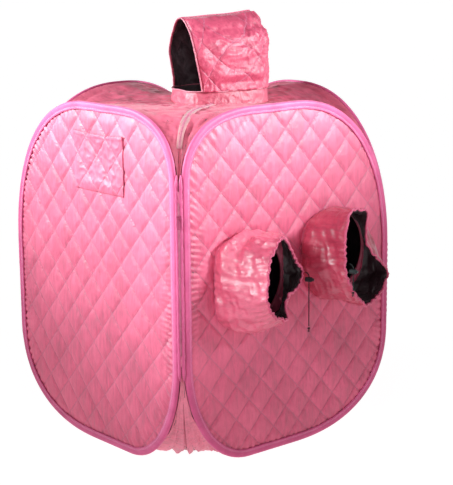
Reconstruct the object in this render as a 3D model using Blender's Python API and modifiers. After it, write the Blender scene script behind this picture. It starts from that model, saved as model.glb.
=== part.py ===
"""Portable steam sauna: a folding cabin of four quilted walls, each stretched on a spring-steel hoop.

Metres, +Z up. The origin is the middle of the floor, at ground level. The front wall, with the two
arm sleeves, faces -Y. The entry corner, where the zip runs, is at -X and -Y.
"""

import math

import bmesh
import bpy
from mathutils import Matrix, Vector

# Cabin
SIDE = 0.80  # between the middle planes of opposite walls
HEIGHT = 0.994  # of each hoop with its binding
GAP = 0.0006  # left between neighbours that are sewn or rest together

# Corners of a wall's outline: half-axes across and up, and the exponent of the round
ENTRY_TOP = (0.256, 0.206, 2.46)
ENTRY_FOOT = (0.227, 0.317, 2.03)
OTHER_TOP = (0.382, 0.470, 2.24)
OTHER_FOOT = (0.386, 0.294, 2.33)
CORNER_STEPS = 9

# Binding, hoop wire and quilt of a wall
BINDING_WIDTH = 0.024
BINDING_THICK = 0.012
BINDING_CLOTH = 0.0014
QUILT_THICK = 0.007
QUILT_INSET = 0.010
WIRE_RADIUS = 0.00175
WIRE_INSET = 0.0052
WIRE_END_GAP = 0.002
FERRULE_LENGTH = 0.030
FERRULE_RADIUS = 0.0027
FERRULE_BORE = 0.0021

# Corner seams that the walls turn on
HINGE_INSET = BINDING_THICK / 2 + GAP
HINGE_CLEAR = 0.0032
SEAM_RADIUS = 0.0022
SEAM_FOOT = 0.36
SEAM_TOP = 0.66

# Roof and floor cloth
CLOTH = 0.0016
ROOF_SAG = 0.034
ROOF_DROP = 0.004
CLOTH_EDGE = 0.009
LOBE_PULL = 0.5
GORE_GAP = 0.0032
GORE_CELLS = (14, 4)
MAT_HALF = 0.30
MAT_ROUND = 5.0
MAT_THICK = 0.004
FLOOR_LIFT = 0.0024

# Neck and hood
HOOD_CENTRE = Vector((0.080, 0.0, 0.0))
HOOD_TURN = math.radians(168)  # direction that the face opening looks, from +X
HOOD_HALF_LENGTH = 0.134
HOOD_HALF_WIDTH = 0.110
HOOD_ROUND = 3.2
COLLAR_FOOT = 0.940
COLLAR_TOP = 0.9958
COLLAR_CLOTH = 0.004
HOOD_TOP = 1.208
HOOD_CLOTH = 0.005
HOOD_LEAN_START = 0.45  # share of the height above which the sides lean in
HOOD_LEAN_POWER = 2.2
HOOD_LEAN_ROUND = 0.62
HOOD_BACK_START = 0.7  # the same for the back, which comes in by this share at the ridge
HOOD_BACK_LEAN = 0.22
HOOD_CELLS = (20, 8)
RIDGE_WELD = 0.0004
RIM_REACH_FOOT = 0.104
RIM_REACH_TOP = 0.126
TRIM_RADIUS = 0.0026
TRIM_STEPS = 9

# Arm sleeves: middle of the base, middle of the cuff, and which way the cuff looks from -Y
SLEEVE_BASE_RADIUS = 0.124
SLEEVE_CLOTH = 0.0035
SLEEVES = {
    "left": {"base": (-0.160, 0.515), "cuff": (-0.112, -0.505, 0.522), "turn": 24, "radius": 0.112},
    "right": {"base": (0.160, 0.548), "cuff": (0.176, -0.525, 0.550), "turn": 17, "radius": 0.118},
}
SLEEVE_SIDES = 24
CUFF_RADIUS = 0.0032

# Drawcords and their locks
CORD_RADIUS = 0.0015
CORD_BEND = 0.012  # reach of the bend from running out of the hem to hanging down
CORD_STEP = 0.012
BEND_STEPS = 4
LOCK_RADIUS = 0.0070
LOCK_LENGTH = 0.018
LOCK_DROP = 0.020
LOCK_BORE = 0.0046
PLUNGER_RADIUS = 0.0041
PLUNGER_LENGTH = 0.016
PLUNGER_PROUD = 0.006
CORD_HOLE = 0.0024
PRESS = 0.004
LOCK_BACK = -0.0099  # of the barrel's closed end, from the cord
BORE_FLOOR = LOCK_BACK + 0.002
SPRING_RADIUS = 0.0026
SPRING_WIRE = 0.00035
SPRING_TURNS = 3
KNOT_RADIUS = 0.0042
KNOT_TALL = 1.35
CORDS = {"left": {"side": 1, "drop": 0.155}, "right": {"side": -1, "drop": 0.075}}

# Pocket on the left wall
POCKET_MIDDLE = (0.049, 0.828)
POCKET_SIZE = (0.232, 0.166)
POCKET_DEEP = 0.011
POCKET_CLOTH = 0.0016

# Steam hose inlet low on the back wall
INLET_PLACE = (0.20, 0.17)
INLET_RADIUS = 0.028
INLET_LENGTH = 0.055
INLET_CLOTH = 0.0022
PATCH_RADIUS = 0.046

# Entry zip
CHAIN_THICK = 0.0024
CHAIN_REACH = 0.0172
TAPE_WIDTH = 0.024
TAPE_LIFT = 0.0022
TAPE_CELLS = (12, 2)
ROOF_ZIP_END = Vector((-0.315, -0.315, 0.0))
ZIP_FOOT = 0.34
ZIP_TOP = 0.76
SLIDER_WIDE = 0.0085
SLIDER_TALL = 0.014
SLIDER_DEEP = 0.0062
SLIDER_REST = 0.72
EAR_REACH = 0.0034  # from the slider's face to the pin's axis
EAR_RADIUS = 0.0016
EAR_THICK = 0.0012
EAR_GAP = 0.0042
PIN_RADIUS = 0.0007
PIN_BORE = 0.00085
BARREL_RADIUS = 0.0019
PULL_LENGTH = 0.026
PULL_WIDE = 0.0075
PULL_THICK = 0.0016

WALLS = ("front", "right", "back", "left")
COLOURS = {
    "satin": (0.83, 0.27, 0.42, 0.38, 0.0),
    "binding": (0.90, 0.24, 0.46, 0.55, 0.0),
    "lining": (0.03, 0.02, 0.025, 0.45, 0.0),
    "steel": (0.55, 0.55, 0.57, 0.30, 1.0),
    "zip": (0.86, 0.45, 0.55, 0.45, 0.0),
    "black": (0.015, 0.015, 0.017, 0.40, 0.0),
}


def clear_scene():
    for thing in list(bpy.data.objects):
        bpy.data.objects.remove(thing, do_unlink=True)


def new_collection(name):
    made = bpy.data.collections.new(name)
    bpy.context.scene.collection.children.link(made)
    return made


clear_scene()
PARTS = new_collection("portable_steam_sauna")
HELPERS = new_collection("helpers")
HELPERS.hide_render = True


def material(name, kind):
    made = bpy.data.materials.new(name)
    made.use_nodes = True
    red, green, blue, rough, metal = COLOURS[kind]
    shader = made.node_tree.nodes["Principled BSDF"]
    shader.inputs["Base Color"].default_value = (red, green, blue, 1)
    shader.inputs["Roughness"].default_value = rough
    shader.inputs["Metallic"].default_value = metal
    return made


def add(name, data, kind, parent=None, matrix=None, helper=False):
    """A named object with its own material, placed by matrix and hung on its body's empty."""
    made = bpy.data.objects.new(name, data)
    (HELPERS if helper else PARTS).objects.link(made)
    if helper:
        made.hide_render = True
        made.display_type = "WIRE"
    else:
        data.materials.append(material(name, kind))
    if parent:
        made.parent = parent
    bpy.context.view_layer.update()
    made.matrix_world = matrix or Matrix.Identity(4)
    return made


def body(name, place, parent=None):
    """An empty on the axis that the body turns on."""
    made = bpy.data.objects.new(name, None)
    PARTS.objects.link(made)
    made.parent = parent
    bpy.context.view_layer.update()
    made.matrix_world = Matrix.Translation(place)
    bpy.context.view_layer.update()
    return made


def power(value, exponent):
    return math.copysign(abs(value) ** exponent, value)


def quarter(across, up, exponent, steps):
    """Points of a quarter round, from its side end to its top end, about its own middle."""
    angles = [math.pi / 2 * i / steps for i in range(steps + 1)]
    return [(across * math.cos(a) ** (2 / exponent), up * abs(math.sin(a)) ** (2 / exponent)) for a in angles]


def half_outline(top, foot, inset, steps):
    """One side of a wall, foot to top, with the distance from the wall's middle line first."""
    half = SIDE / 2 - HINGE_INSET - HINGE_CLEAR
    low = quarter(foot[0] - inset, foot[1] - inset, foot[2], steps)
    high = quarter(top[0] - inset, top[1] - inset, top[2], steps)
    below = [(half - foot[0] + a, foot[1] - b) for a, b in reversed(low)]
    above = [(half - top[0] + a, HEIGHT - top[1] + b) for a, b in high]
    return below + above


def wall_sides(wall):
    """Round corners of the wall's left and right sides, seen from outside: (top, foot) each."""
    entry, other = (ENTRY_TOP, ENTRY_FOOT), (OTHER_TOP, OTHER_FOOT)
    return (entry if wall == "front" else other), (entry if wall == "left" else other)


def outline(wall, inset=0.0, steps=CORNER_STEPS):
    """The wall's closed outline, anticlockwise seen from outside."""
    left, right = wall_sides(wall)
    up = half_outline(*right, inset, steps)
    down = [(-u, z) for u, z in reversed(half_outline(*left, inset, steps))]
    points = up + down
    return [p for i, p in enumerate(points) if math.dist(p, points[i - 1]) > 0.0005]


def wall_matrix(wall):
    """Local X runs along the wall, local Y up and local Z out of the cabin."""
    turn = Matrix.Rotation(WALLS.index(wall) * math.pi / 2, 4, "Z")
    return turn @ Matrix.Translation((0, -SIDE / 2, 0)) @ Matrix.Rotation(math.pi / 2, 4, "X")


def circle(middle, radius, sides):
    turns = [2 * math.pi * i / sides for i in range(sides)]
    return [(middle[0] + radius * math.cos(t), middle[1] + radius * math.sin(t)) for t in turns]


def superellipse(half_x, half_y, exponent, sides):
    turns = [2 * math.pi * i / sides for i in range(sides)]
    return [
        (half_x * power(math.cos(t), 2 / exponent), half_y * power(math.sin(t), 2 / exponent)) for t in turns
    ]


def flat_curve(name, loops, thick):
    """A plate of this thickness between closed loops, in its own XY plane."""
    data = bpy.data.curves.new(name, "CURVE")
    data.dimensions = "2D"
    data.fill_mode = "BOTH"
    data.extrude = thick / 2
    for loop in loops:
        add_spline(data, [(x, y, 0) for x, y in loop], True)
    return data


def add_spline(data, points, cyclic):
    spline = data.splines.new("POLY")
    spline.points.add(len(points) - 1)
    for point, place in zip(spline.points, points):
        point.co = (*place, 1)
    spline.use_cyclic_u = cyclic


def tube_curve(name, points, radius, cyclic=False, resolution=2):
    data = bpy.data.curves.new(name, "CURVE")
    data.dimensions = "3D"
    data.bevel_depth = radius
    data.bevel_resolution = resolution
    data.use_fill_caps = not cyclic
    add_spline(data, points, cyclic)
    return data


def grid_mesh(name, columns, rows, place, weld=0.00001):
    """A sheet of columns by rows cells whose points are place(u, v), u and v from 0 to 1."""
    work = bmesh.new()
    bmesh.ops.create_grid(work, x_segments=columns, y_segments=rows, size=0.5)
    for vert in work.verts:
        vert.co = place(vert.co.x + 0.5, vert.co.y + 0.5)
    bmesh.ops.remove_doubles(work, verts=work.verts, dist=weld)
    bmesh.ops.recalc_face_normals(work, faces=work.faces)
    made = bpy.data.meshes.new(name)
    work.to_mesh(made)
    work.free()
    made.shade_smooth()
    return made


def solidify(thing, thick, offset):
    shell = thing.modifiers.new("shell", "SOLIDIFY")
    shell.thickness = thick
    shell.offset = offset
    shell.use_even_offset = False
    shell.use_rim = True
    return shell


def boolean(thing, cutter, operation="DIFFERENCE"):
    cut = thing.modifiers.new(cutter.name, "BOOLEAN")
    cut.operation = operation
    cut.object = cutter
    cut.solver = "EXACT"


def cylinder(name, radius, length, sides=20):
    """A round bar along local Z, from 0 to its length."""
    work = bmesh.new()
    bmesh.ops.create_cone(work, cap_ends=True, segments=sides, radius1=radius, radius2=radius, depth=length)
    bmesh.ops.translate(work, verts=work.verts, vec=(0, 0, length / 2))
    made = bpy.data.meshes.new(name)
    work.to_mesh(made)
    work.free()
    return made


def box(name, size, middle=(0, 0, 0)):
    work = bmesh.new()
    bmesh.ops.create_cube(work, size=1.0)
    bmesh.ops.scale(work, verts=work.verts, vec=size)
    bmesh.ops.translate(work, verts=work.verts, vec=middle)
    made = bpy.data.meshes.new(name)
    work.to_mesh(made)
    work.free()
    return made


def axis_corner(x, y):
    """Where a corner's seam axis stands, just inside both walls' inner faces."""
    reach = SIDE / 2 - HINGE_INSET
    return Vector((x * reach, y * reach, 0))


# Walls


def make_binding(wall, parent):
    """A cloth channel, open towards the quilt, swept round the outline."""
    half, cloth = BINDING_THICK / 2, BINDING_CLOTH
    channel = [
        (0, -half), (BINDING_WIDTH, -half), (BINDING_WIDTH, cloth - half), (cloth, cloth - half),
        (cloth, half - cloth), (BINDING_WIDTH, half - cloth), (BINDING_WIDTH, half), (0, half),
    ]
    profile = bpy.data.curves.new(wall + "_channel", "CURVE")
    profile.dimensions = "2D"
    profile.fill_mode = "NONE"
    add_spline(profile, [(-x, y, 0) for x, y in channel], True)
    guide = add(wall + "_channel", profile, "binding", helper=True)
    data = bpy.data.curves.new(wall + "_binding", "CURVE")
    data.dimensions = "3D"
    data.twist_mode = "Z_UP"
    data.bevel_mode = "OBJECT"
    data.bevel_object = guide
    add_spline(data, [(u, z, 0) for u, z in outline(wall)], True)
    return add(wall + "_binding", data, "binding", parent, wall_matrix(wall))


def make_hoop(wall, parent):
    """Spring wire whose ends meet inside the crimped ferrule at the foot."""
    points = outline(wall, WIRE_INSET)
    straight = FERRULE_LENGTH * 0.7
    ring = [p for p in points if abs(p[0]) > 2 * straight or p[1] > HEIGHT / 2]
    first = next(i for i, p in enumerate(ring) if p[0] > 0 and p[1] < HEIGHT / 2)
    ring = ring[first:] + ring[:first]
    start = [(WIRE_END_GAP / 2, WIRE_INSET), (straight, WIRE_INSET)]
    route = start + ring + [(-u, z) for u, z in reversed(start)]
    data = tube_curve(wall + "_hoop", [(u, z, 0) for u, z in route], WIRE_RADIUS)
    return add(wall + "_hoop", data, "steel", parent, wall_matrix(wall))


def make_ferrule(wall, parent):
    rings = [circle((0, 0), FERRULE_RADIUS, 14), circle((0, 0), FERRULE_BORE, 14)]
    data = flat_curve(wall + "_ferrule", rings, FERRULE_LENGTH)
    place = Matrix.Translation((0, WIRE_INSET, 0)) @ Matrix.Rotation(math.pi / 2, 4, "Y")
    return add(wall + "_ferrule", data, "steel", parent, wall_matrix(wall) @ place)


def make_quilt(wall, parent):
    loops = [outline(wall, QUILT_INSET)]
    if wall == "front":
        for sleeve in SLEEVES.values():
            loops.append(circle(sleeve["base"], SLEEVE_BASE_RADIUS - SLEEVE_CLOTH, SLEEVE_SIDES))
    if wall == "back":
        loops.append(circle(INLET_PLACE, INLET_RADIUS, 16))
    data = flat_curve(wall + "_quilt", loops, QUILT_THICK)
    return add(wall + "_quilt", data, "satin", parent, wall_matrix(wall))


# Roof and floor cloth


def corner_of(x, y):
    """The (top, foot) rounds of the corner that this point of the plan is nearest to."""
    return (ENTRY_TOP, ENTRY_FOOT) if x < 0 and y < 0 else (OTHER_TOP, OTHER_FOOT)


def fall(distance, rounding):
    """How far a hoop has fallen from its highest or lowest line, this far from its middle."""
    half = SIDE / 2 - HINGE_INSET - HINGE_CLEAR
    start = half - rounding[0]
    share = min(max((distance - start) / rounding[0], 0), 1)
    return rounding[1] * (1 - (1 - share ** rounding[2]) ** (1 / rounding[2]))


def cloth_fall(x, y, rounding):
    """The same for the cloth between the hoops, blended so that it meets both of them."""
    deepest = rounding[1]
    share_x = fall(abs(x), rounding) / deepest
    share_y = fall(abs(y), rounding) / deepest
    taut = math.sqrt(share_x * share_y * (1 - share_x) * (1 - share_y))
    return deepest * (share_x * share_y + LOBE_PULL * taut)


def roof_height(x, y):
    half = SIDE / 2
    sag = ROOF_SAG * (1 - (x / half) ** 2) * (1 - (y / half) ** 2)
    return HEIGHT - ROOF_DROP - sag - cloth_fall(x, y, corner_of(x, y)[0])


def floor_height(x, y):
    return FLOOR_LIFT + cloth_fall(x, y, corner_of(x, y)[1])


def collar_point(angle, grow):
    """On the neck collar's outer outline, grown by this much, in the direction angle from its middle."""
    local = angle - HOOD_TURN
    half_x, half_y = HOOD_HALF_LENGTH + grow, HOOD_HALF_WIDTH + grow
    reach = (abs(math.cos(local) / half_x) ** HOOD_ROUND + abs(math.sin(local) / half_y) ** HOOD_ROUND)
    reach = reach ** (-1 / HOOD_ROUND)
    return HOOD_CENTRE + Vector((math.cos(angle), math.sin(angle), 0)) * reach


def mat_point(angle):
    """On the floor mat's outline, a little outside it."""
    reach = (abs(math.cos(angle)) ** MAT_ROUND + abs(math.sin(angle)) ** MAT_ROUND) ** (-1 / MAT_ROUND)
    return Vector((math.cos(angle), math.sin(angle), 0)) * (MAT_HALF + GAP) * reach


def gore(wall, name, inner, middle, height, parent):
    """One wall's share of the roof or floor cloth: from its hoop in to the collar or the mat."""
    turn = Matrix.Rotation(WALLS.index(wall) * math.pi / 2, 3, "Z")
    half = SIDE / 2 - CLOTH_EDGE
    spread = half - GORE_GAP
    ends = [turn @ Vector((side * half, -half, 0)) - middle for side in (-1, 1)]
    first, last = (math.atan2(end.y, end.x) for end in ends)
    last += 2 * math.pi if last < first else 0
    slack = GORE_GAP / HOOD_HALF_LENGTH / 2

    def place(u, v):
        along = math.sin((u - 0.5) * math.pi) * spread
        outer = turn @ Vector((along, -half, 0))
        angle = first + slack + (last - first - 2 * slack) * u
        spot = outer.lerp(inner(angle), v ** 0.8)
        return Vector((spot.x, spot.y, height(spot.x, spot.y)))

    made = add(name, grid_mesh(name, *GORE_CELLS, place), "satin", parent)
    solidify(made, CLOTH, 1)
    return made


def make_floor_mat():
    loop = superellipse(MAT_HALF - GAP, MAT_HALF - GAP, MAT_ROUND, 40)
    data = flat_curve("floor_mat", [loop], MAT_THICK)
    return add("floor_mat", data, "black", matrix=Matrix.Translation((0, 0, MAT_THICK / 2)))


# Neck collar and hood


def hood_matrix():
    return Matrix.Translation(HOOD_CENTRE) @ Matrix.Rotation(HOOD_TURN, 4, "Z")


def make_collar():
    outer = superellipse(HOOD_HALF_LENGTH, HOOD_HALF_WIDTH, HOOD_ROUND, 32)
    inner = superellipse(HOOD_HALF_LENGTH - COLLAR_CLOTH, HOOD_HALF_WIDTH - COLLAR_CLOTH, HOOD_ROUND, 32)
    data = flat_curve("neck_collar", [outer, inner], COLLAR_TOP - COLLAR_FOOT)
    lift = Matrix.Translation((0, 0, (COLLAR_FOOT + COLLAR_TOP) / 2))
    return add("neck_collar", data, "satin", matrix=hood_matrix() @ lift)


def hood_point(side, rise):
    """On the hood's cloth: side runs from -1 to 1 round the back, rise from 0 to 1 up to the ridge."""
    lean = max(rise - HOOD_LEAN_START, 0) / (1 - HOOD_LEAN_START)
    half_width = HOOD_HALF_WIDTH * max(1 - lean ** HOOD_LEAN_POWER, 0) ** HOOD_LEAN_ROUND
    behind = max(rise - HOOD_BACK_START, 0) / (1 - HOOD_BACK_START)
    half_length = HOOD_HALF_LENGTH * (1 - HOOD_BACK_LEAN * behind ** 2)
    reach = RIM_REACH_FOOT + (RIM_REACH_TOP - RIM_REACH_FOOT) * rise
    rim = math.pi - math.acos(min(reach / HOOD_HALF_LENGTH, 0.99) ** (HOOD_ROUND / 2))
    angle = side * rim
    along = -power(math.cos(angle), 2 / HOOD_ROUND)
    along *= half_length if along < 0 else HOOD_HALF_LENGTH
    across = half_width * power(math.sin(angle), 2 / HOOD_ROUND)
    foot = COLLAR_TOP + GAP
    return Vector((along, across, foot + (HOOD_TOP - foot) * rise))


def make_hood():
    def place(u, v):
        side = 2 * u - 1
        return hood_point(side, math.sin(v * math.pi / 2))

    made = add("hood_shell", grid_mesh("hood_shell", *HOOD_CELLS, place, RIDGE_WELD), "satin",
               matrix=hood_matrix())
    solidify(made, HOOD_CLOTH, -1)
    return made


def make_face_binding():
    """Piping round the face opening, from one side of the collar over the ridge to the other."""
    rises = [math.sin(i / TRIM_STEPS * math.pi / 2) for i in range(TRIM_STEPS + 1)]
    clear = TRIM_RADIUS + HOOD_CLOTH / 5 + GAP
    near = [hood_point(-1, r) + Vector((clear, 0, 0)) for r in rises]
    far = [hood_point(1, r) + Vector((clear, 0, 0)) for r in reversed(rises[:-1])]
    near[0].z += TRIM_RADIUS
    far[-1].z += TRIM_RADIUS
    data = tube_curve("hood_face_binding", near + far, TRIM_RADIUS)
    return add("hood_face_binding", data, "binding", matrix=hood_matrix())


# Sleeves, cuffs, cords and locks


def sleeve_frame(side):
    """Middle of the cuff, its outward direction and its sideways direction."""
    sleeve = SLEEVES[side]
    turn = math.radians(sleeve["turn"])
    out = Vector((math.sin(turn), -math.cos(turn), 0))
    across = Vector((math.cos(turn), math.sin(turn), 0))
    return Vector(sleeve["cuff"]), out, across


def sleeve_point(side, turn, share):
    sleeve = SLEEVES[side]
    cuff, _, across = sleeve_frame(side)
    seat = -SIDE / 2 - QUILT_THICK / 2 - SLEEVE_CLOTH / 2 - GAP
    base = Vector((sleeve["base"][0], seat, sleeve["base"][1]))
    radius = SLEEVE_BASE_RADIUS + (sleeve["radius"] - SLEEVE_BASE_RADIUS) * share
    sideways = Vector((1, 0, 0)).lerp(across, share).normalized()
    middle = base.lerp(cuff, share)
    return middle + (sideways * math.cos(turn) + Vector((0, 0, 1)) * math.sin(turn)) * radius


def make_sleeve(side, parent):
    name = side + "_sleeve"

    def place(u, v):
        return sleeve_point(side, 2 * math.pi * u, v)

    made = add(name, grid_mesh(name, SLEEVE_SIDES, 3, place), "satin", parent)
    solidify(made, SLEEVE_CLOTH, -1)
    return made


def make_cuff(side, parent):
    """The hem that the drawcord runs in, a ring on the sleeve's free end."""
    _, out, _ = sleeve_frame(side)
    turns = [2 * math.pi * i / SLEEVE_SIDES for i in range(SLEEVE_SIDES)]
    clear = out * (CUFF_RADIUS + GAP)
    cuff, _, _ = sleeve_frame(side)
    points = []
    for turn in turns:
        rim = sleeve_point(side, turn, 1)
        points.append(rim + clear - (rim - cuff).normalized() * SLEEVE_CLOTH / 2)
    data = tube_curve(side + "_cuff_hem", points, CUFF_RADIUS, True)
    return add(side + "_cuff_hem", data, "binding", parent)


def cord_start(side):
    """Where the drawcord leaves the hem, and the direction in which it does."""
    _, out, across = sleeve_frame(side)
    turn = 0 if CORDS[side]["side"] > 0 else math.pi
    rim = sleeve_point(side, turn, 1) + out * (2 * CUFF_RADIUS + GAP)
    return rim - across * CORDS[side]["side"] * SLEEVE_CLOTH / 2 + out * GAP, out


def lock_middle(side):
    start, out = cord_start(side)
    return start + out * CORD_BEND + Vector((0, 0, -LOCK_DROP))


def cord_route(side):
    """Out of the hem, over in a small bend, then straight down through the lock."""
    start, out = cord_start(side)
    down = Vector((0, 0, -1))
    hang = CORDS[side]["drop"] - CORD_BEND
    turns = [math.pi / 2 * i / BEND_STEPS for i in range(BEND_STEPS)]
    knots = [start + (out * math.sin(t) + down * (1 - math.cos(t))) * CORD_BEND for t in turns]
    steps = round(hang / CORD_STEP)
    foot_of_bend = start + (out + down) * CORD_BEND
    knots += [foot_of_bend + down * hang * i / steps for i in range(steps + 1)]
    return smooth(knots, 2)


def smooth(knots, steps):
    """Points on a Catmull-Rom curve through the knots."""
    ends = [2 * knots[0] - knots[1], *knots, 2 * knots[-1] - knots[-2]]
    route = []
    for a, b, c, d in zip(ends, ends[1:], ends[2:], ends[3:]):
        for i in range(steps):
            t = i / steps
            square = 2 * a - 5 * b + 4 * c - d
            cube = 3 * b - a - 3 * c + d
            route.append(0.5 * (2 * b + (c - a) * t + square * t * t + cube * t ** 3))
    return route + [knots[-1]]


def make_cord(side, parent):
    points = [tuple(p) for p in cord_route(side)]
    name = side + "_drawcord"
    return add(name, tube_curve(name, points, CORD_RADIUS), "black", parent)


def make_knot(side, parent):
    """The overhand knot that keeps the lock on the cord."""
    name = side + "_cord_knot"
    work = bmesh.new()
    bmesh.ops.create_uvsphere(work, u_segments=12, v_segments=8, radius=KNOT_RADIUS)
    bmesh.ops.scale(work, verts=work.verts, vec=(1, 1, KNOT_TALL))
    data = bpy.data.meshes.new(name)
    work.to_mesh(data)
    work.free()
    foot = cord_route(side)[-1] + Vector((0, 0, -KNOT_RADIUS * KNOT_TALL - GAP))
    return add(name, data, "black", parent, Matrix.Translation(foot))


def lock_matrix(side):
    """Local Z is the way out, local X sideways and local Y up, with the cord at local Z 0."""
    _, out, across = sleeve_frame(side)
    frame = Matrix((across, (0, 0, 1), out)).transposed().to_4x4()
    if frame.determinant() < 0:
        frame = Matrix((-across, (0, 0, 1), out)).transposed().to_4x4()
    return Matrix.Translation(lock_middle(side)) @ frame


def make_lock(side, parent):
    """The lock's barrel, with a blind bore for the button and a hole across it for the cord."""
    name = side + "_cord_lock"
    place = lock_matrix(side)
    data = cylinder(name, LOCK_RADIUS, LOCK_LENGTH)
    made = add(name, data, "black", parent, place @ Matrix.Translation((0, 0, LOCK_BACK)))
    bore = cylinder(name + "_bore", LOCK_BORE, LOCK_LENGTH)
    hole = cylinder(name + "_hole", CORD_HOLE, 4 * LOCK_RADIUS, 12)
    below = Matrix.Translation(lock_middle(side) - Vector((0, 0, 2 * LOCK_RADIUS)))
    bore_place = place @ Matrix.Translation((0, 0, BORE_FLOOR))
    boolean(made, add(name + "_bore", bore, "black", None, bore_place, True))
    boolean(made, add(name + "_hole", hole, "black", None, below, True))
    return made


def plunger_foot():
    """Local Z of the plunger's inner end."""
    return LOCK_BACK + LOCK_LENGTH + PLUNGER_PROUD - PLUNGER_LENGTH


def make_plunger(side, parent):
    """The button: its slot grips the cord until it is pressed in."""
    name = side + "_lock_button"
    data = cylinder(name, PLUNGER_RADIUS, PLUNGER_LENGTH)
    made = add(name, data, "black", parent, lock_matrix(side) @ Matrix.Translation((0, 0, plunger_foot())))
    slot_size = (2 * CORD_HOLE, 4 * LOCK_RADIUS, 2 * CORD_HOLE + PRESS)
    slot = box(name + "_slot", slot_size, (0, 0, PRESS / 2))
    boolean(made, add(name + "_slot", slot, "black", None, lock_matrix(side), True))
    return made


def make_spring(side, parent):
    """The small coil behind the button."""
    name = side + "_lock_spring"
    foot = BORE_FLOOR + SPRING_WIRE + GAP / 2
    head = plunger_foot() - SPRING_WIRE - GAP / 2
    points = []
    for i in range(SPRING_TURNS * 7 + 1):
        share = i / (SPRING_TURNS * 7)
        angle = share * SPRING_TURNS * 2 * math.pi
        across = SPRING_RADIUS * math.cos(angle)
        up = SPRING_RADIUS * math.sin(angle)
        points.append((across, up, foot + (head - foot) * share))
    return add(name, tube_curve(name, points, SPRING_WIRE), "steel", parent, lock_matrix(side))


# Pocket, steam inlet and zip


def make_pocket(parent):
    """A patch stood off the wall, closed at its sides and foot and open at the top."""
    wide, tall = POCKET_SIZE
    start = QUILT_THICK / 2 + GAP
    place = wall_matrix("left") @ Matrix.Translation((*POCKET_MIDDLE, 0))
    made = add("pocket", box("pocket", (wide, tall, POCKET_DEEP), (0, 0, start + POCKET_DEEP / 2)), "satin",
               parent, place)
    hollow_size = (wide - 2 * POCKET_CLOTH, tall, POCKET_DEEP)
    hollow = box("pocket_hollow", hollow_size, (0, POCKET_CLOTH, start + POCKET_DEEP / 2 - POCKET_CLOTH))
    boolean(made, add("pocket_hollow", hollow, "satin", None, place, helper=True))
    return made


def make_inlet(parent):
    """A patch round the hole in the back wall, and the short sleeve that the steam hose goes through."""
    start = QUILT_THICK / 2 + GAP
    place = wall_matrix("back") @ Matrix.Translation((*INLET_PLACE, start + INLET_CLOTH / 2))
    outer = INLET_RADIUS + INLET_CLOTH
    rings = [circle((0, 0), PATCH_RADIUS, 24), circle((0, 0), outer + GAP, 24)]
    patch = flat_curve("steam_inlet_patch", rings, INLET_CLOTH)
    add("steam_inlet_patch", patch, "binding", parent, place)
    sleeve = flat_curve("steam_inlet_sleeve", [circle((0, 0), outer, 24), circle((0, 0), INLET_RADIUS, 24)],
                        INLET_LENGTH)
    lift = Matrix.Translation((0, 0, (INLET_LENGTH - INLET_CLOTH) / 2))
    add("steam_inlet_sleeve", sleeve, "satin", parent, place @ lift)


def entry_matrix():
    """Local X points out along the entry corner's diagonal, local Z up."""
    return Matrix.Translation(axis_corner(-1, -1)) @ Matrix.Rotation(math.radians(225), 4, "Z")


def make_entry_zip(parent):
    """The upright run of the closed zip, edge out in the groove between the two bindings."""
    middle = (CHAIN_REACH / 2, 0, (ZIP_TOP + ZIP_FOOT) / 2)
    data = box("entry_zip_chain", (CHAIN_REACH, CHAIN_THICK, ZIP_TOP - ZIP_FOOT), middle)
    add("entry_zip_chain", data, "zip", parent, entry_matrix())


def make_roof_zip():
    """The zip's run over the roof, from the collar to the entry corner, on top of the gores' seam."""
    first = collar_point(math.atan2(-SIDE / 2 - HOOD_CENTRE.y, -SIDE / 2 - HOOD_CENTRE.x), COLLAR_CLOTH)
    run = ROOF_ZIP_END - first
    across = Vector((run.y, -run.x, 0)).normalized() * TAPE_WIDTH / 2

    def place(u, v):
        centre = first.lerp(ROOF_ZIP_END, u)
        spot = centre + across * (2 * v - 1)
        high = max(roof_height(centre.x, centre.y), roof_height(spot.x, spot.y))
        return Vector((spot.x, spot.y, high + CLOTH + TAPE_LIFT))

    made = add("roof_zip", grid_mesh("roof_zip", *TAPE_CELLS, place), "zip")
    solidify(made, CLOTH, 0)
    return made


def slider_matrix():
    """On the tab's hinge pin: local X out of the corner, local Y along the pin, local Z up."""
    out = CHAIN_REACH + GAP + SLIDER_DEEP + EAR_REACH
    return entry_matrix() @ Matrix.Translation((out, 0, SLIDER_REST))


def make_zip_slider(parent):
    """The slider's block, with the two ears that hold the pull tab's pin."""
    block_middle = (-EAR_REACH - SLIDER_DEEP / 2, 0, 0)
    block = box("zip_slider", (SLIDER_DEEP, SLIDER_WIDE, SLIDER_TALL), block_middle)
    made = add("zip_slider", block, "steel", parent, slider_matrix())
    ear_long = EAR_REACH + EAR_RADIUS + GAP
    for side in (-1, 1):
        middle = (EAR_RADIUS - ear_long / 2, side * (EAR_GAP + EAR_THICK) / 2, 0)
        name = "slider_ear_" + ("left" if side < 0 else "right")
        ear = box(name, (ear_long, EAR_THICK, 2 * EAR_RADIUS), middle)
        boolean(made, add(name, ear, "steel", None, slider_matrix(), True), "UNION")


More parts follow.
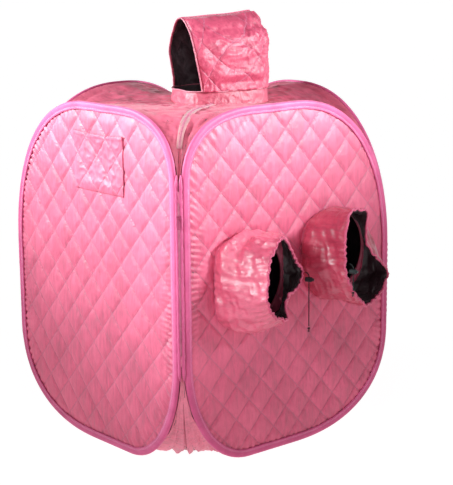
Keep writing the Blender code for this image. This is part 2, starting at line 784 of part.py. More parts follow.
def make_pull_tab(parent):
    """A flat tab hanging from a barrel that turns on the pin."""
    lie = Matrix.Rotation(math.pi / 2, 4, "X")
    wide = EAR_GAP - 2 * GAP / 2
    place = slider_matrix()
    start = place @ lie @ Matrix.Translation((0, 0, -wide / 2))
    made = add("zip_pull_tab", cylinder("zip_pull_tab", BARREL_RADIUS, wide, 16), "steel", parent, start)
    plate_middle = (0, 0, -EAR_RADIUS * 2 - PULL_LENGTH / 2)
    plate = box("pull_plate", (PULL_THICK, PULL_WIDE, PULL_LENGTH), plate_middle)
    neck = box("pull_neck", (PULL_THICK, wide, EAR_RADIUS * 2), (0, 0, -EAR_RADIUS - PIN_BORE))
    bore = cylinder("pull_bore", PIN_BORE, 3 * wide, 12)
    boolean(made, add("pull_neck", neck, "steel", None, place, True), "UNION")
    boolean(made, add("pull_plate", plate, "steel", None, place, True), "UNION")
    start = place @ lie @ Matrix.Translation((0, 0, -1.5 * wide))
    boolean(made, add("pull_bore", bore, "steel", None, start, True))


def make_pull_pin(parent):
    long = EAR_GAP - GAP / 2
    start = slider_matrix() @ Matrix.Rotation(math.pi / 2, 4, "X") @ Matrix.Translation((0, 0, -long / 2))
    add("zip_pull_pin", cylinder("zip_pull_pin", PIN_RADIUS, long, 12), "steel", parent, start)


def make_corner_seam(name, x, y, parent):
    """A piped upright seam on the axis that two walls turn on."""
    data = cylinder(name, SEAM_RADIUS, SEAM_TOP - SEAM_FOOT, 12)
    add(name, data, "binding", parent, Matrix.Translation(axis_corner(x, y) + Vector((0, 0, SEAM_FOOT))))


def make_wall(wall, parent):
    make_binding(wall, parent)
    make_hoop(wall, parent)
    make_ferrule(wall, parent)
    make_quilt(wall, parent)
    gore(wall, wall + "_roof_gore", lambda angle: collar_point(angle, GAP), HOOD_CENTRE, roof_height, parent)
    gore(wall, wall + "_floor_gore", mat_point, Vector((0, 0, 0)), floor_height, parent)


def build():
    entry = body("entry_corner_axis", axis_corner(-1, -1))
    left = body("left_wall_axis", axis_corner(-1, -1), entry)
    front = body("front_wall_axis", axis_corner(-1, -1), entry)
    back = body("back_wall_axis", axis_corner(-1, 1), left)
    right = body("right_wall_axis", axis_corner(1, -1), front)
    rear = body("rear_corner_axis", axis_corner(1, 1), back)
    for wall, parent in (("front", front), ("right", right), ("back", back), ("left", left)):
        make_wall(wall, parent)
    make_corner_seam("left_back_seam", -1, 1, left)
    make_corner_seam("front_right_seam", 1, -1, front)
    make_corner_seam("rear_corner_seam", 1, 1, rear)
    make_floor_mat()
    make_collar()
    make_hood()
    make_face_binding()
    for side in SLEEVES:
        lock = body(side + "_lock_guide", lock_middle(side), front)
        button = body(side + "_button_guide", lock_middle(side), lock)
        make_sleeve(side, front)
        make_cuff(side, front)
        make_cord(side, front)
        make_knot(side, front)
        make_lock(side, lock)
        make_spring(side, lock)
        make_plunger(side, button)
    make_pocket(left)
    make_inlet(back)
    make_entry_zip(entry)
    make_roof_zip()
    slider = body("zip_slider_guide", slider_matrix().translation, entry)
    pull = body("zip_pull_axis", slider_matrix().translation, slider)
    make_zip_slider(slider)
    make_pull_pin(slider)
    make_pull_tab(pull)


build()
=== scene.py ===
"""The looks of the portable steam sauna: quilted satin on spring hoops, hood, arm sleeves, zips and cords."""

from math import atan2, cos, hypot, pi, radians, sin, sqrt

import bpy
import numpy as np
from mathutils import Matrix, Vector


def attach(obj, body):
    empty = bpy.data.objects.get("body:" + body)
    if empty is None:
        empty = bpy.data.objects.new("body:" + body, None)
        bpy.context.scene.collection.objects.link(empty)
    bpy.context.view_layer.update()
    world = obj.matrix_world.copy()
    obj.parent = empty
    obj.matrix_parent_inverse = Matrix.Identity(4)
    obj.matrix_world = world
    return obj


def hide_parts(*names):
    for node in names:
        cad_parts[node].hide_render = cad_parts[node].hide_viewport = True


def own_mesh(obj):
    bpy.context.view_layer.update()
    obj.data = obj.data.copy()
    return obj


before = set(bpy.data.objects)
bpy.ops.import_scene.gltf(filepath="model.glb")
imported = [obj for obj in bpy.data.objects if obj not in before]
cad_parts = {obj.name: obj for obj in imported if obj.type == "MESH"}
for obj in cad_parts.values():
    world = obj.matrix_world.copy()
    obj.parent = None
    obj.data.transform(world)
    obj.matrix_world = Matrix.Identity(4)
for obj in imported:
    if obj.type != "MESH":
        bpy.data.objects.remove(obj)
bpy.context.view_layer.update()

FINE = 1.0

# The cabin, as the CAD model has it, in metres
SIDE = 0.80
HALF_PLAN = SIDE / 2
HEIGHT = 0.994
HINGE_INSET = 0.0066
HINGE_CLEAR = 0.0032
AXIS = HALF_PLAN - HINGE_INSET
WALL_HALF = AXIS - HINGE_CLEAR
WALLS = ("front", "right", "back", "left")

# Rounds of a wall's outline: half-axes across and up, and the exponent
ENTRY_TOP = (0.256, 0.206, 2.46)
ENTRY_FOOT = (0.227, 0.317, 2.03)
OTHER_TOP = (0.382, 0.470, 2.24)
OTHER_FOOT = (0.386, 0.294, 2.33)

ROOF_SAG = 0.034
ROOF_DROP = 0.004
FLOOR_LIFT = 0.0024
LOBE_PULL = 0.5
MAT_HALF = 0.30
MAT_ROUND = 5.0

HOOD_CENTRE = (0.080, 0.0)
HOOD_TURN = radians(168)
HOOD_HALF_LENGTH = 0.134
HOOD_HALF_WIDTH = 0.110
HOOD_ROUND = 3.2
COLLAR_FOOT = 0.940
HOOD_FOOT = 0.9964
HOOD_TOP = 1.208

SLEEVE_BASE_RADIUS = 0.124
SLEEVES = {
    "left": {"base": (-0.160, 0.515), "cuff": (-0.112, -0.505, 0.522), "turn": 24, "radius": 0.112},
    "right": {"base": (0.160, 0.548), "cuff": (0.176, -0.525, 0.550), "turn": 17, "radius": 0.118},
}
INLET_PLACE = (0.20, 0.17)
INLET_RADIUS = 0.028
INLET_LENGTH = 0.050
POCKET_MIDDLE = (0.049, 0.828)
POCKET_SIZE = (0.232, 0.166)


# Materials


class Field:
    """A value that runs through a material's nodes, with arithmetic."""

    def __init__(self, tree, socket):
        self.tree = tree
        self.socket = socket

    def __add__(self, other):
        return compute(self.tree, "ADD", self, other)

    def __sub__(self, other):
        return compute(self.tree, "SUBTRACT", self, other)

    def __rsub__(self, other):
        return compute(self.tree, "SUBTRACT", other, self)

    def __mul__(self, other):
        return compute(self.tree, "MULTIPLY", self, other)

    def __truediv__(self, other):
        return compute(self.tree, "DIVIDE", self, other)

    def __abs__(self):
        return compute(self.tree, "ABSOLUTE", self)

    def fraction(self):
        return compute(self.tree, "FRACT", self)

    def sine(self):
        return compute(self.tree, "SINE", self)

    def below(self, other):
        return compute(self.tree, "LESS_THAN", self, other)

    def at_least(self, other):
        return compute(self.tree, "MAXIMUM", self, other)

    def falling(self, reach):
        """1 where this is 0, and 0 from reach on."""
        return (1 - self / reach).at_least(0)


def join(tree, value, socket):
    if isinstance(value, Field):
        tree.links.new(value.socket, socket)
    else:
        socket.default_value = value


def compute(tree, operation, *values):
    made = tree.nodes.new("ShaderNodeMath")
    made.operation = operation
    for value, socket in zip(values, made.inputs):
        join(tree, value, socket)
    return Field(tree, made.outputs[0])


class Textures:
    """The textures in a tree of nodes. Sockets are given by name, with _ for a space."""

    def __init__(self, tree):
        self.tree = tree

    def feed(self, made, **sockets):
        for name, value in sockets.items():
            join(self.tree, value, made.inputs[name.replace("_", " ")])

    def make(self, kind, **sockets):
        made = self.tree.nodes.new("ShaderNode" + kind)
        self.feed(made, **sockets)
        return made

    def place(self, stretch=(1, 1, 1)):
        """The piece's own metres, scaled."""
        where = Field(self.tree, self.make("TexCoord").outputs["Object"])
        return Field(self.tree, self.make("Mapping", Vector=where, Scale=stretch).outputs["Vector"])

    def parts(self, source):
        """The separate numbers of the piece's Object place or of its UV."""
        where = Field(self.tree, self.make("TexCoord").outputs[source])
        split = self.make("SeparateXYZ", Vector=where)
        return [Field(self.tree, socket) for socket in split.outputs]

    def noise(self, scale, detail=2.0, rough=0.5, distort=0.0, stretch=(1, 1, 1)):
        made = self.make("TexNoise", Vector=self.place(stretch), Scale=scale, Detail=detail, Roughness=rough,
                         Distortion=distort)
        return Field(self.tree, made.outputs["Fac"])

    def creases(self, scale):
        """Sharp folds between smooth hollows."""
        made = self.make("TexNoise", Vector=self.place())
        made.noise_type = "RIDGED_MULTIFRACTAL"
        self.feed(made, Scale=scale, Detail=1.5, Roughness=0.45, Distortion=0.7)
        return Field(self.tree, made.outputs["Fac"])

    def wave(self, scale, direction, distort, detail=1.0):
        made = self.make("TexWave", Vector=self.place(), Scale=scale, Distortion=distort, Detail=detail)
        made.bands_direction = direction
        return Field(self.tree, made.outputs["Fac"])

    def ramp(self, factor, *stops):
        """A colour, or a grey given by one number, from each stop to the next."""
        made = self.make("ValToRGB", Fac=factor)
        elements = made.color_ramp.elements
        while len(elements) < len(stops):
            elements.new(0.5)
        for element, (place, colour) in zip(elements, stops):
            element.position = place
            element.color = (*(np.ones(3) * colour), 1)
        return Field(self.tree, made.outputs["Color"])

    def mix(self, share, first, second, kind="MIX"):
        made = self.make("Mix")
        made.data_type = "RGBA"
        made.blend_type = kind
        for socket, value in ((0, share), (6, first), (7, second)):
            join(self.tree, value, made.inputs[socket])
        return Field(self.tree, made.outputs[2])


class Paint(Textures):
    """A material with the one shader that its textures feed."""

    def __init__(self, name, colour, rough, metal=0.0, **sockets):
        self.material = bpy.data.materials.new(name)
        self.material.use_nodes = True
        super().__init__(self.material.node_tree)
        self.shader = self.tree.nodes["Principled BSDF"]
        self.feed(self.shader, Base_Color=(*colour, 1), Roughness=rough, Metallic=metal, **sockets)

    def done(self, colour, heights, rough=None):
        """Stacks (height, strength, distance in metres) layers into the normal, and gives the material."""
        last = {}
        for height, strength, distance in heights:
            made = self.make("Bump", Strength=strength, Distance=distance, Height=height, **last)
            last = {"Normal": Field(self.tree, made.outputs["Normal"])}
        self.feed(self.shader, Base_Color=colour, **last)
        if rough:
            self.feed(self.shader, Roughness=rough)
        return self.material


def shade(colour, times, plus=0.0):
    return tuple(min(part * times + plus, 1) for part in colour)


PANEL_PINK = (0.63, 0.062, 0.148)
PALE_PINK = (0.82, 0.30, 0.42, 1)
# painted shade along the quilting's stitch grooves
STITCH_SHADE_PINK = (0.34, 0.068, 0.135, 1)
THREAD_PINK = (0.95, 0.45, 0.62, 1)
BINDING_PINK = (0.58, 0.074, 0.200)
LINING_DARK = (0.050, 0.024, 0.031)

QUILT_WIDE = 0.0935  # a diamond's width and height
QUILT_TALL = 0.100
QUILT_PITCH = QUILT_WIDE * QUILT_TALL / hypot(QUILT_WIDE, QUILT_TALL)
QUILT_START = {"front": (-0.05, -0.41), "left": (-0.08, -0.02), "right": (0.12, 0.33), "back": (0.27, -0.18)}
QUILT_STITCH = 0.0042
LINE_REACH = 0.0024
PUCKER_REACH = 0.013
HOOD_ROUND_HALF = 0.34
HOOD_QUILT_START = (-0.35, -0.15)


def satin(name, colour, rough=0.56, glints=1.0, gloss=1.0, sheen=0.10, lattice=None, hood=False):
    """Warp-faced satin: upright streaks of small creases, fine threads and a pale gloss.
    lattice adds the rows of quilting stitches, with painted shade along their grooves."""
    paint = Paint(name, colour, rough, Sheen_Weight=sheen, Sheen_Roughness=0.30,
                  Sheen_Tint=(1.0, 0.80, 0.86, 1), Specular_IOR_Level=gloss,
                  Specular_Tint=(1.0, 0.80, 0.88, 1))
    streaks = paint.noise(1.0, 4.0, 0.62, 0.5, stretch=(95.0, 17.0, 95.0))
    slubs = paint.noise(1.0, 2.0, 0.6, stretch=(420.0, 40.0, 420.0))
    # half of the colour follows the crease streaks, as painted shade and sheen on the creases; the other half
    # is random tone
    spread = paint.noise(6.0, 3.0, 0.6) * 0.5 + streaks * 0.5
    body = paint.ramp(spread, (0.34, shade(colour, 0.68)), (0.50, colour), (0.68, shade(colour, 1.18, 0.03)))
    body = paint.mix(0.5, body, paint.ramp(slubs, (0.3, 0.82), (0.7, 1)), "MULTIPLY")
    heights = [(paint.creases(38.0), 0.26 * glints, 0.0034), (streaks, 0.55 * glints, 0.0028),
               (slubs, 0.18, 0.0004), (paint.wave(1900.0, "X", 1.5, 2.0), 0.10, 0.00012)]
    if lattice:
        line, thread, near = quilting(paint, lattice, hood)
        # painted shade: the satin is darkened along each stitch groove
        body = paint.mix(line * 0.55, body, STITCH_SHADE_PINK)
        body = paint.mix(thread * 0.35, body, PALE_PINK)
        heights += [(thread * 0.7 - line, 0.5, 0.0014), (near * paint.creases(85.0), 0.5, 0.0034)]
    return paint.done(body, heights, paint.ramp(streaks, (0.3, rough - 0.06), (0.7, rough + 0.08)))


def quilting(paint, starts, hood):
    """A soft groove along each row of stitches, which the satin darkens as painted shade, its threads and
    the puckers beside it, drawn on a wall's own X and Y or from the way round the hood and its height."""
    x, y, z = paint.parts("Object")
    across = (HOOD_ROUND_HALF - paint.parts("UV")[0] if hood else x) / QUILT_WIDE
    up = (z if hood else y) / QUILT_TALL
    layers = []
    for climb, start in ((up, starts[0]), (up * -1.0, starts[1])):
        away = abs((across + climb - start + 0.5).fraction() - 0.5) * QUILT_PITCH
        beat = ((across - climb) * (QUILT_PITCH / QUILT_STITCH)).fraction()
        dash = abs(beat - 0.5).below(0.36)
        layers.append((away.falling(LINE_REACH), away.falling(0.0006) * dash, away.falling(PUCKER_REACH)))
    return [one.at_least(other) for one, other in zip(*layers)]


def tape_cloth(name, colour, rows=(), rough=0.45):
    """Grosgrain tape with rows of stitches at these places across it, from its uv."""
    paint = Paint(name, colour, rough, Sheen_Weight=0.12, Sheen_Roughness=0.45,
                  Sheen_Tint=(1.0, 0.72, 0.86, 1), Specular_IOR_Level=0.2)
    along, across, _ = paint.parts("UV")
    wear = paint.noise(220.0, 4.0, 0.7)
    spread = paint.noise(16.0, 3.0, 0.6) * 0.7 + wear * 0.3
    body = paint.ramp(spread, (0.3, shade(colour, 0.78)), (0.5, colour), (0.72, shade(colour, 1.12, 0.02)))
    ribs = (along * (2 * pi / 0.0011)).sine()
    heights = [(paint.noise(90.0, 3.0), 0.35, 0.0010), (ribs, 0.16, 0.00025), (wear, 0.08, 0.0002)]
    threads = None
    for row in rows:
        dash = abs((along / 0.0038).fraction() - 0.5).below(0.34)
        made = abs(abs(across) - row).falling(0.0007) * dash
        threads = threads.at_least(made) if threads else made
    if threads:
        body = paint.mix(threads * 0.8, body, THREAD_PINK)
        heights.append((threads, 0.6, 0.0008))
    return paint.done(body, heights)


def coated_lining(name):
    """Dark coated taffeta: a plain weave, a grey bloom and pressed folds."""
    paint = Paint(name, LINING_DARK, 0.42, Sheen_Weight=0.25, Sheen_Roughness=0.3,
                  Sheen_Tint=(0.85, 0.75, 0.8, 1))
    cloud = paint.noise(14.0, 4.0, 0.6, 0.8)
    bloom = paint.ramp(cloud, (0.32, (0.026, 0.012, 0.016)), (0.52, LINING_DARK),
                       (0.72, (0.120, 0.088, 0.100)))
    weave = paint.wave(950.0, "X", 0.5) * paint.wave(950.0, "Y", 0.5)
    heights = [(paint.noise(38.0, 4.0, 0.55, 1.2), 0.7, 0.0040), (weave, 0.08, 0.0002)]
    return paint.done(bloom, heights, paint.ramp(cloud, (0.3, 0.34), (0.7, 0.5)))


def cord_cloth(name, colour):
    """Braided cord: two crossing sets of strands from its uv."""
    paint = Paint(name, colour, 0.7, Specular_IOR_Level=0.25)
    along, around, _ = paint.parts("UV")
    one, two = ((part * (2 * pi / 0.0016)).sine() for part in (along + around, along - around))
    braid = one.at_least(two)
    fluff = paint.noise(900.0)
    strands = paint.ramp(braid * 0.3 + fluff * 0.6, (0.1, shade(colour, 0.5)),
                         (0.8, shade(colour, 1.6, 0.004)))
    return paint.done(strands, [(braid, 0.5, 0.0004), (fluff, 0.15, 0.0002)])


def metal(name, colour, rough, scratch, brushed=(200.0, 200.0, 200.0)):
    paint = Paint(name, colour, rough, 1.0)
    lines = paint.noise(1.0, 3.0, 0.6, stretch=brushed)
    spots = paint.noise(420.0, 3.0, 0.7)
    surface = paint.ramp((lines + spots) * 0.5, (0.3, shade(colour, 0.72)), (0.7, colour))
    polish = paint.ramp(lines, (0.3, rough * 0.7), (0.75, rough * 1.5))
    return paint.done(surface, [(lines, scratch, 0.0001), (spots, 0.06, 0.0001)], polish)


def plastic(name, colour, rough=0.36):
    paint = Paint(name, colour, rough, Specular_IOR_Level=0.25)
    scuff = paint.noise(120.0, 4.0, 0.7)
    surface = paint.ramp(scuff, (0.35, colour), (0.8, shade(colour, 1.5, 0.004)))
    polish = paint.ramp(scuff, (0.35, rough), (0.75, rough + 0.16))
    return paint.done(surface, [(paint.noise(1400.0), 0.12, 0.0001), (scuff, 0.05, 0.0002)], polish)


def felt(name, colour):
    """Nonwoven floor cloth, dotted where it was welded."""
    paint = Paint(name, colour, 0.85, Sheen_Weight=0.3)
    voronoi = paint.make("TexVoronoi", Vector=paint.place(), Scale=260.0, Randomness=0.25)
    dots = Field(paint.tree, voronoi.outputs["Distance"])
    fibres = paint.noise(700.0, 4.0, 0.8)
    surface = paint.ramp(dots * 0.6 + fibres * 0.5, (0.25, shade(colour, 0.6)),
                         (0.8, shade(colour, 1.7, 0.01)))
    return paint.done(surface, [(dots, 0.4, 0.0012), (fibres, 0.3, 0.0005)])


LINING = coated_lining("lining")
ROOF_SATIN = satin("roof_satin", (0.56, 0.066, 0.128), 0.56, glints=0.9, gloss=0.75)
# painted light: the floor gores' satin is a lighter copy of the same satin, so the shaded foot of the cabin
# looks lit
LIGHTENED_GUSSET_SATIN = satin("gusset_satin_lightened", (0.76, 0.150, 0.240), 0.44, glints=2.0)
SLEEVE_SATIN = {
    "left": satin("sleeve_satin_left", (0.64, 0.080, 0.155), 0.38),
    # painted shade: the right sleeve's satin is a darker copy of the left one's; the steam inlet's sleeve
    # uses it too
    "right": satin("sleeve_satin_right_darkened", (0.42, 0.030, 0.070), 0.38, sheen=0.06),
}
# painted shade: the hood's and the collar's satin are darker copies of the same satin, against the strong
# light on top of the cabin
DARKENED_HOOD_SATIN = satin("hood_satin_darkened", (0.47, 0.044, 0.098), 0.46, 1.3, 0.5, lattice=HOOD_QUILT_START, hood=True)
DARKENED_COLLAR_SATIN = satin("collar_satin_darkened", (0.44, 0.043, 0.090), 0.50, 1.3, 0.6)
QUILTED = {wall: satin("quilted_" + wall, PANEL_PINK, lattice=QUILT_START[wall]) for wall in WALLS}
BINDING = tape_cloth("binding_tape", BINDING_PINK, (0.0195, 0.0170))
PIPING = tape_cloth("piping", (0.50, 0.125, 0.185))
HEM = tape_cloth("cuff_hem", (0.52, 0.065, 0.140))
ZIP_TAPE = tape_cloth("zip_tape", (0.66, 0.13, 0.24), (0.006, 0.018))
ROOF_TAPE = tape_cloth("roof_zip_tape", (0.46, 0.17, 0.20), (0.0035, 0.0205))
PATCH_TAPE = tape_cloth("patch_tape", (0.80, 0.22, 0.42), (0.003, 0.013))
CORD = cord_cloth("braid", (0.010, 0.009, 0.011))
STEEL = metal("spring_steel", (0.52, 0.52, 0.55), 0.32, 0.2, (40.0, 40.0, 900.0))
LACQUER = metal("rose_lacquer", (0.50, 0.090, 0.190), 0.38, 0.08)
CHROME = metal("plated", (0.74, 0.74, 0.77), 0.18, 0.08)
BLACK = plastic("black_plastic", (0.013, 0.013, 0.015))
ZIP_PINK = plastic("zip_teeth", (0.42, 0.10, 0.17), 0.4)
FELT = felt("floor_felt", (0.030, 0.024, 0.027))


# Camera, light and floor

VIEW_TARGET = Vector((0.0, 0.0, 0.4972))
VIEW_AZIMUTH = radians(-39.175)
VIEW_ELEVATION = radians(12.491)
VIEW_DISTANCE = 4.470
VIEW_ROLL = radians(-0.822)
LENS = 109.2
SENSOR = 36.0
LENS_SHIFT = (0.0520, 0.0233)

SKY_DIM = (0.12, 0.118, 0.12)
KEY_TINT = (0.64, 1.0, 0.90)
FLOOR_GLOW = 0.965
FLOOR_REACH = 40.0


def show(name, data):
    made = bpy.data.objects.new(name, data)
    bpy.context.scene.collection.objects.link(made)
    return made


def make_camera():
    data = bpy.data.cameras.new("camera")
    data.lens = LENS
    data.sensor_width = SENSOR
    data.shift_x, data.shift_y = LENS_SHIFT
    camera = show("camera", data)
    flat = cos(VIEW_ELEVATION)
    back = Vector((sin(VIEW_AZIMUTH) * flat, -cos(VIEW_AZIMUTH) * flat, sin(VIEW_ELEVATION)))
    right = (-back).cross(Vector((0, 0, 1))).normalized()
    up = right.cross(-back)
    turned_right = right * cos(VIEW_ROLL) + up * sin(VIEW_ROLL)
    turned_up = up * cos(VIEW_ROLL) - right * sin(VIEW_ROLL)
    basis = Matrix((turned_right, turned_up, back)).transposed().to_4x4()
    camera.matrix_world = Matrix.Translation(VIEW_TARGET + back * VIEW_DISTANCE) @ basis
    bpy.context.scene.camera = camera


def lamp(name, kind, place, aim, power):
    data = bpy.data.lights.new(name, kind)
    data.energy = power
    aimed = (Vector(aim) - Vector(place)).to_track_quat("-Z", "Y").to_matrix().to_4x4()
    show(name, data).matrix_world = Matrix.Translation(place) @ aimed
    return data


def spot(name, place, aim, cone, power):
    """A soft-edged lamp aimed over the object, so that its light falls off down the walls."""
    data = lamp(name, "SPOT", place, aim, power)
    data.spot_size = radians(cone)
    data.spot_blend = 1.0
    data.color = KEY_TINT
    data.shadow_soft_size = 0.25


def make_sky():
    """Dim overhead and bright in a band round the horizon, so that the room reads as white."""
    world = bpy.data.worlds.new("studio")
    bpy.context.scene.world = world
    world.use_nodes = True
    sky = Textures(world.node_tree)
    height = abs(sky.parts("Generated")[2])
    colour = sky.ramp(height, (0.0, 1.0), (0.11, 0.99), (0.24, SKY_DIM), (1.0, SKY_DIM))
    sky.feed(world.node_tree.nodes["Background"], Strength=1.0, Color=colour)


def make_floor():
    """A grey floor that glows evenly, so that it shows white and takes no shadow."""
    data = bpy.data.meshes.new("floor")
    corners = [(FLOOR_REACH * x, FLOOR_REACH * y, 0) for x, y in ((-1, -1), (1, -1), (1, 1), (-1, 1))]
    data.from_pydata(corners, [], [(0, 1, 2, 3)])
    floor = show("floor", data)
    floor.location.z = -0.001
    paint = Paint("studio_floor", (0.20, 0.20, 0.20), 0.9, Emission_Color=(1.0, 1.0, 1.0, 1),
                  Emission_Strength=FLOOR_GLOW, Specular_IOR_Level=0.1)
    speck = paint.noise(260.0, 3.0)
    paint.feed(paint.shader, Base_Color=paint.ramp(speck, (0.0, 0.19), (1.0, 0.21)))
    data.materials.append(paint.material)


def make_studio():
    """A small softbox close above, two big soft spots from the left and the front, and a weak one low."""
    make_sky()
    near = lamp("near", "AREA", (-0.95, -1.05, 1.95), (-0.20, -0.20, 0.9), 8)
    near.shape = "RECTANGLE"
    near.size, near.size_y = (0.9, 0.5)
    spot("key_left", (-2.15, 1.25, 1.90), (-0.40, -0.02, 1.16), 48, 960)
    spot("key_front", (1.20, -2.25, 1.80), (-0.10, -0.40, 1.30), 43, 880)
    spot("side", (-2.60, -0.95, 1.55), (-0.25, -0.55, 0.62), 22, 300)
    make_floor()
    view = bpy.context.scene.view_settings
    view.view_transform = "Standard"
    view.look = "None"


make_camera()
make_studio()


# Shapes in numpy


def soft_step(value, low, high):
    share = np.clip((value - low) / (high - low), 0, 1)
    return share * share * (3 - 2 * share)


def bell(value, middle, width):
    return np.exp(-((value - middle) / width) ** 2)


def bell_round(turn, middle, width):
    """A bell round a circle, with its middle in degrees."""
    return bell(np.angle(np.exp(1j * (turn - radians(middle)))), 0, width)


def ripple(points, size, seed, octaves=2):
    """Smooth repeatable noise at an array of points, about -1 to 1, with features of this size in metres."""
    rng = np.random.default_rng(seed)
    total = np.zeros(points.shape[:-1])
    for octave in range(octaves):
        ways = rng.normal(size=(9, points.shape[-1]))
        ways /= np.linalg.norm(ways, axis=1, keepdims=True)
        ways *= rng.uniform(0.6, 1.4, size=(9, 1)) * 2 * pi / size * 2 ** octave
        phases = rng.uniform(0, 2 * pi, 9)
        total += np.sin(points @ ways.T + phases).sum(-1) / 3.0 / 2 ** octave
    return total / 1.5


def crease(points, size, seed, soft=0.16):
    """Noise with narrow rounded ridges between wide hollows, about -1 to 1."""
    height = np.sqrt(ripple(points, size, seed, 2) ** 2 + soft ** 2) - soft
    return 1 - 2.2 * np.tanh(1.1 * height)


def unit(vectors):
    return vectors / np.maximum(np.linalg.norm(vectors, axis=-1, keepdims=True), 1e-12)


def pack(*parts):
    """One array of points from arrays of coordinates."""
    return np.stack(np.broadcast_arrays(*parts), -1)


def grid(columns, rows, first=0.0, last=1.0, low=0.0):
    """Two arrays over a grid: from first to last along its rows, and from low to 1 up its columns."""
    return np.meshgrid(np.linspace(first, last, columns), np.linspace(low, 1, rows))


def ring_grid(columns, rows):
    return np.meshgrid(np.arange(columns) / columns * 2 * pi, np.linspace(0, 1, rows))


def grid_cells(rows, columns, around=False):
    """Quads of a grid as vertex numbers, and each corner's row and column before it wraps round."""
    last = columns if around else columns - 1
    i, j = np.meshgrid(np.arange(rows - 1), np.arange(last), indexing="ij")
    corners = np.stack([i, j, i, j + 1, i + 1, j + 1, i + 1, j], -1).reshape(-1, 4, 2)
    return corners[..., 0] * columns + corners[..., 1] % columns, corners


def put(name, points, faces, materials, kinds=None, uv=None, matrix=None):
    """A smooth mesh object from arrays; kinds are the faces' material numbers and uv each corner's place."""
    data = bpy.data.meshes.new(name)
    data.from_pydata(np.asarray(points).reshape(-1, 3).tolist(), [], [list(f) for f in faces])
    data.polygons.foreach_set("use_smooth", np.ones(len(data.polygons), bool))
    for paint in materials:
        data.materials.append(paint)
    if kinds is not None:
        data.polygons.foreach_set("material_index", np.asarray(kinds, np.int32))
    if uv is not None:
        layer = data.uv_layers.new(name="UVMap")
        layer.data.foreach_set("uv", np.asarray(uv, np.float32).ravel())
    data.update()
    made = show(name, data)
    if matrix is not None:
        made.matrix_world = matrix
    return made


def grid_normals(points, around=False):
    """Across the columns times along the rows, which faces out when the columns run anticlockwise."""
    along = np.gradient(points, axis=0)
    across = np.roll(points, -1, 1) - np.roll(points, 1, 1) if around else np.gradient(points, axis=1)
    return unit(np.cross(across, along))


def shell(name, outer, thick, materials, around=False, matrix=None, lengths=(1.0, 1.0)):
    """A closed piece of cloth: the outer surface, an inner one this far behind it, and its edges."""
    rows, columns = outer.shape[:2]
    inner = outer - grid_normals(outer, around) * np.reshape(thick, (*np.shape(thick), 1))
    cells, corners = grid_cells(rows, columns, around)
    wide = columns if around else columns - 1
    edges = [corners[:wide][:, [1, 0]], corners[-wide:][:, [3, 2]]]
    if not around:
        by_row = corners.reshape(rows - 1, wide, 4, 2)
        edges += [by_row[:, 0][:, [0, 3]], by_row[:, -1][:, [2, 1]]]
    edge = np.concatenate(edges)
    number = edge[..., 0] * columns + edge[..., 1] % columns
    count = rows * columns
    sides = np.concatenate([number, number[:, ::-1] + count], 1)
    faces = np.concatenate([cells, cells[:, ::-1] + count, sides])
    kinds = np.repeat([0, 1, 0], [len(cells), len(cells), len(edge)])
    places = np.concatenate([corners, corners[:, ::-1], edge[:, [0, 1, 1, 0]]])
    uv = places[..., ::-1] / (columns - 1, rows - 1) * lengths
    return put(name, np.concatenate([outer, inner]), faces, materials, kinds, uv, matrix)


def transport(points, closed=False):
    """Two unit sideways directions along a line, turning as little as they can."""
    if closed:
        tangents = unit(np.roll(points, -1, 0) - np.roll(points, 1, 0))
    else:
        tangents = unit(np.gradient(points, axis=0))
    start = np.array([0, 0, 1.0]) if abs(tangents[0][2]) < 0.9 else np.array([1.0, 0, 0])
    sides = [unit(np.cross(tangents[0], start))]
    for tangent in tangents[1:]:
        sides.append(unit(sides[-1] - tangent * (sides[-1] @ tangent)))
    sides = np.array(sides)
    if closed:
        # spread the turn that is left over along the whole loop
        back = unit(sides[-1] - tangents[0] * (sides[-1] @ tangents[0]))
        left = np.arctan2(np.cross(back, sides[0]) @ tangents[0], back @ sides[0])
        turn = left * np.arange(len(points)) / len(points)
        sides = sides * np.cos(turn)[:, None] + np.cross(tangents, sides) * np.sin(turn)[:, None]
    return sides, np.cross(tangents, sides)


def tube(name, points, radius, paint, sides=8, closed=False, matrix=None):
    """A round tube with its ends filled, and uv in metres along it and round it."""
    points = np.asarray(points, float)
    first, second = transport(points, closed)
    turns = 2 * pi * np.arange(sides) / sides
    radii = np.broadcast_to(np.reshape(radius, (-1, 1)), (len(points), sides))
    ring = first[:, None] * np.cos(turns)[:, None] + second[:, None] * np.sin(turns)[:, None]
    outer = points[:, None] + ring * radii[..., None]
    line = np.concatenate([points, points[:1]]) if closed else points
    run = np.concatenate([[0], np.cumsum(np.linalg.norm(np.diff(line, axis=0), axis=1))])
    cells, corners = grid_cells(len(line), sides, True)
    faces = (cells % (len(points) * sides)).tolist()
    uv = np.stack([run[corners[..., 0]], corners[..., 1] / sides * 2 * pi * radii.mean()], -1).reshape(-1, 2)
    if not closed:
        faces.append(list(range(sides - 1, -1, -1)))
        faces.append([(len(points) - 1) * sides + k for k in range(sides)])
        uv = np.concatenate([uv, np.zeros((2 * sides, 2))])
    return put(name, outer, faces, [paint], None, uv, matrix)


def round_spline(knots, count, closed=True):
    """Points on a smooth curve through the knots, evenly spaced in the knots' own numbering."""
    knots = np.asarray(knots, float)
    n = len(knots)
    place = np.linspace(0, n if closed else n - 1, count, endpoint=not closed)
    i = np.minimum(np.floor(place).astype(int), n - 1 if closed else n - 2)
    t = (place - i)[:, None]
    near = [knots[k % n] if closed else knots[np.clip(k, 0, n - 1)] for k in (i - 1, i, i + 1, i + 2)]
    a, b, c, d = near
    square, cube = 2 * a - 5 * b + 4 * c - d, 3 * b - a - 3 * c + d
    return 0.5 * (2 * b + (c - a) * t + square * t ** 2 + cube * t ** 3)


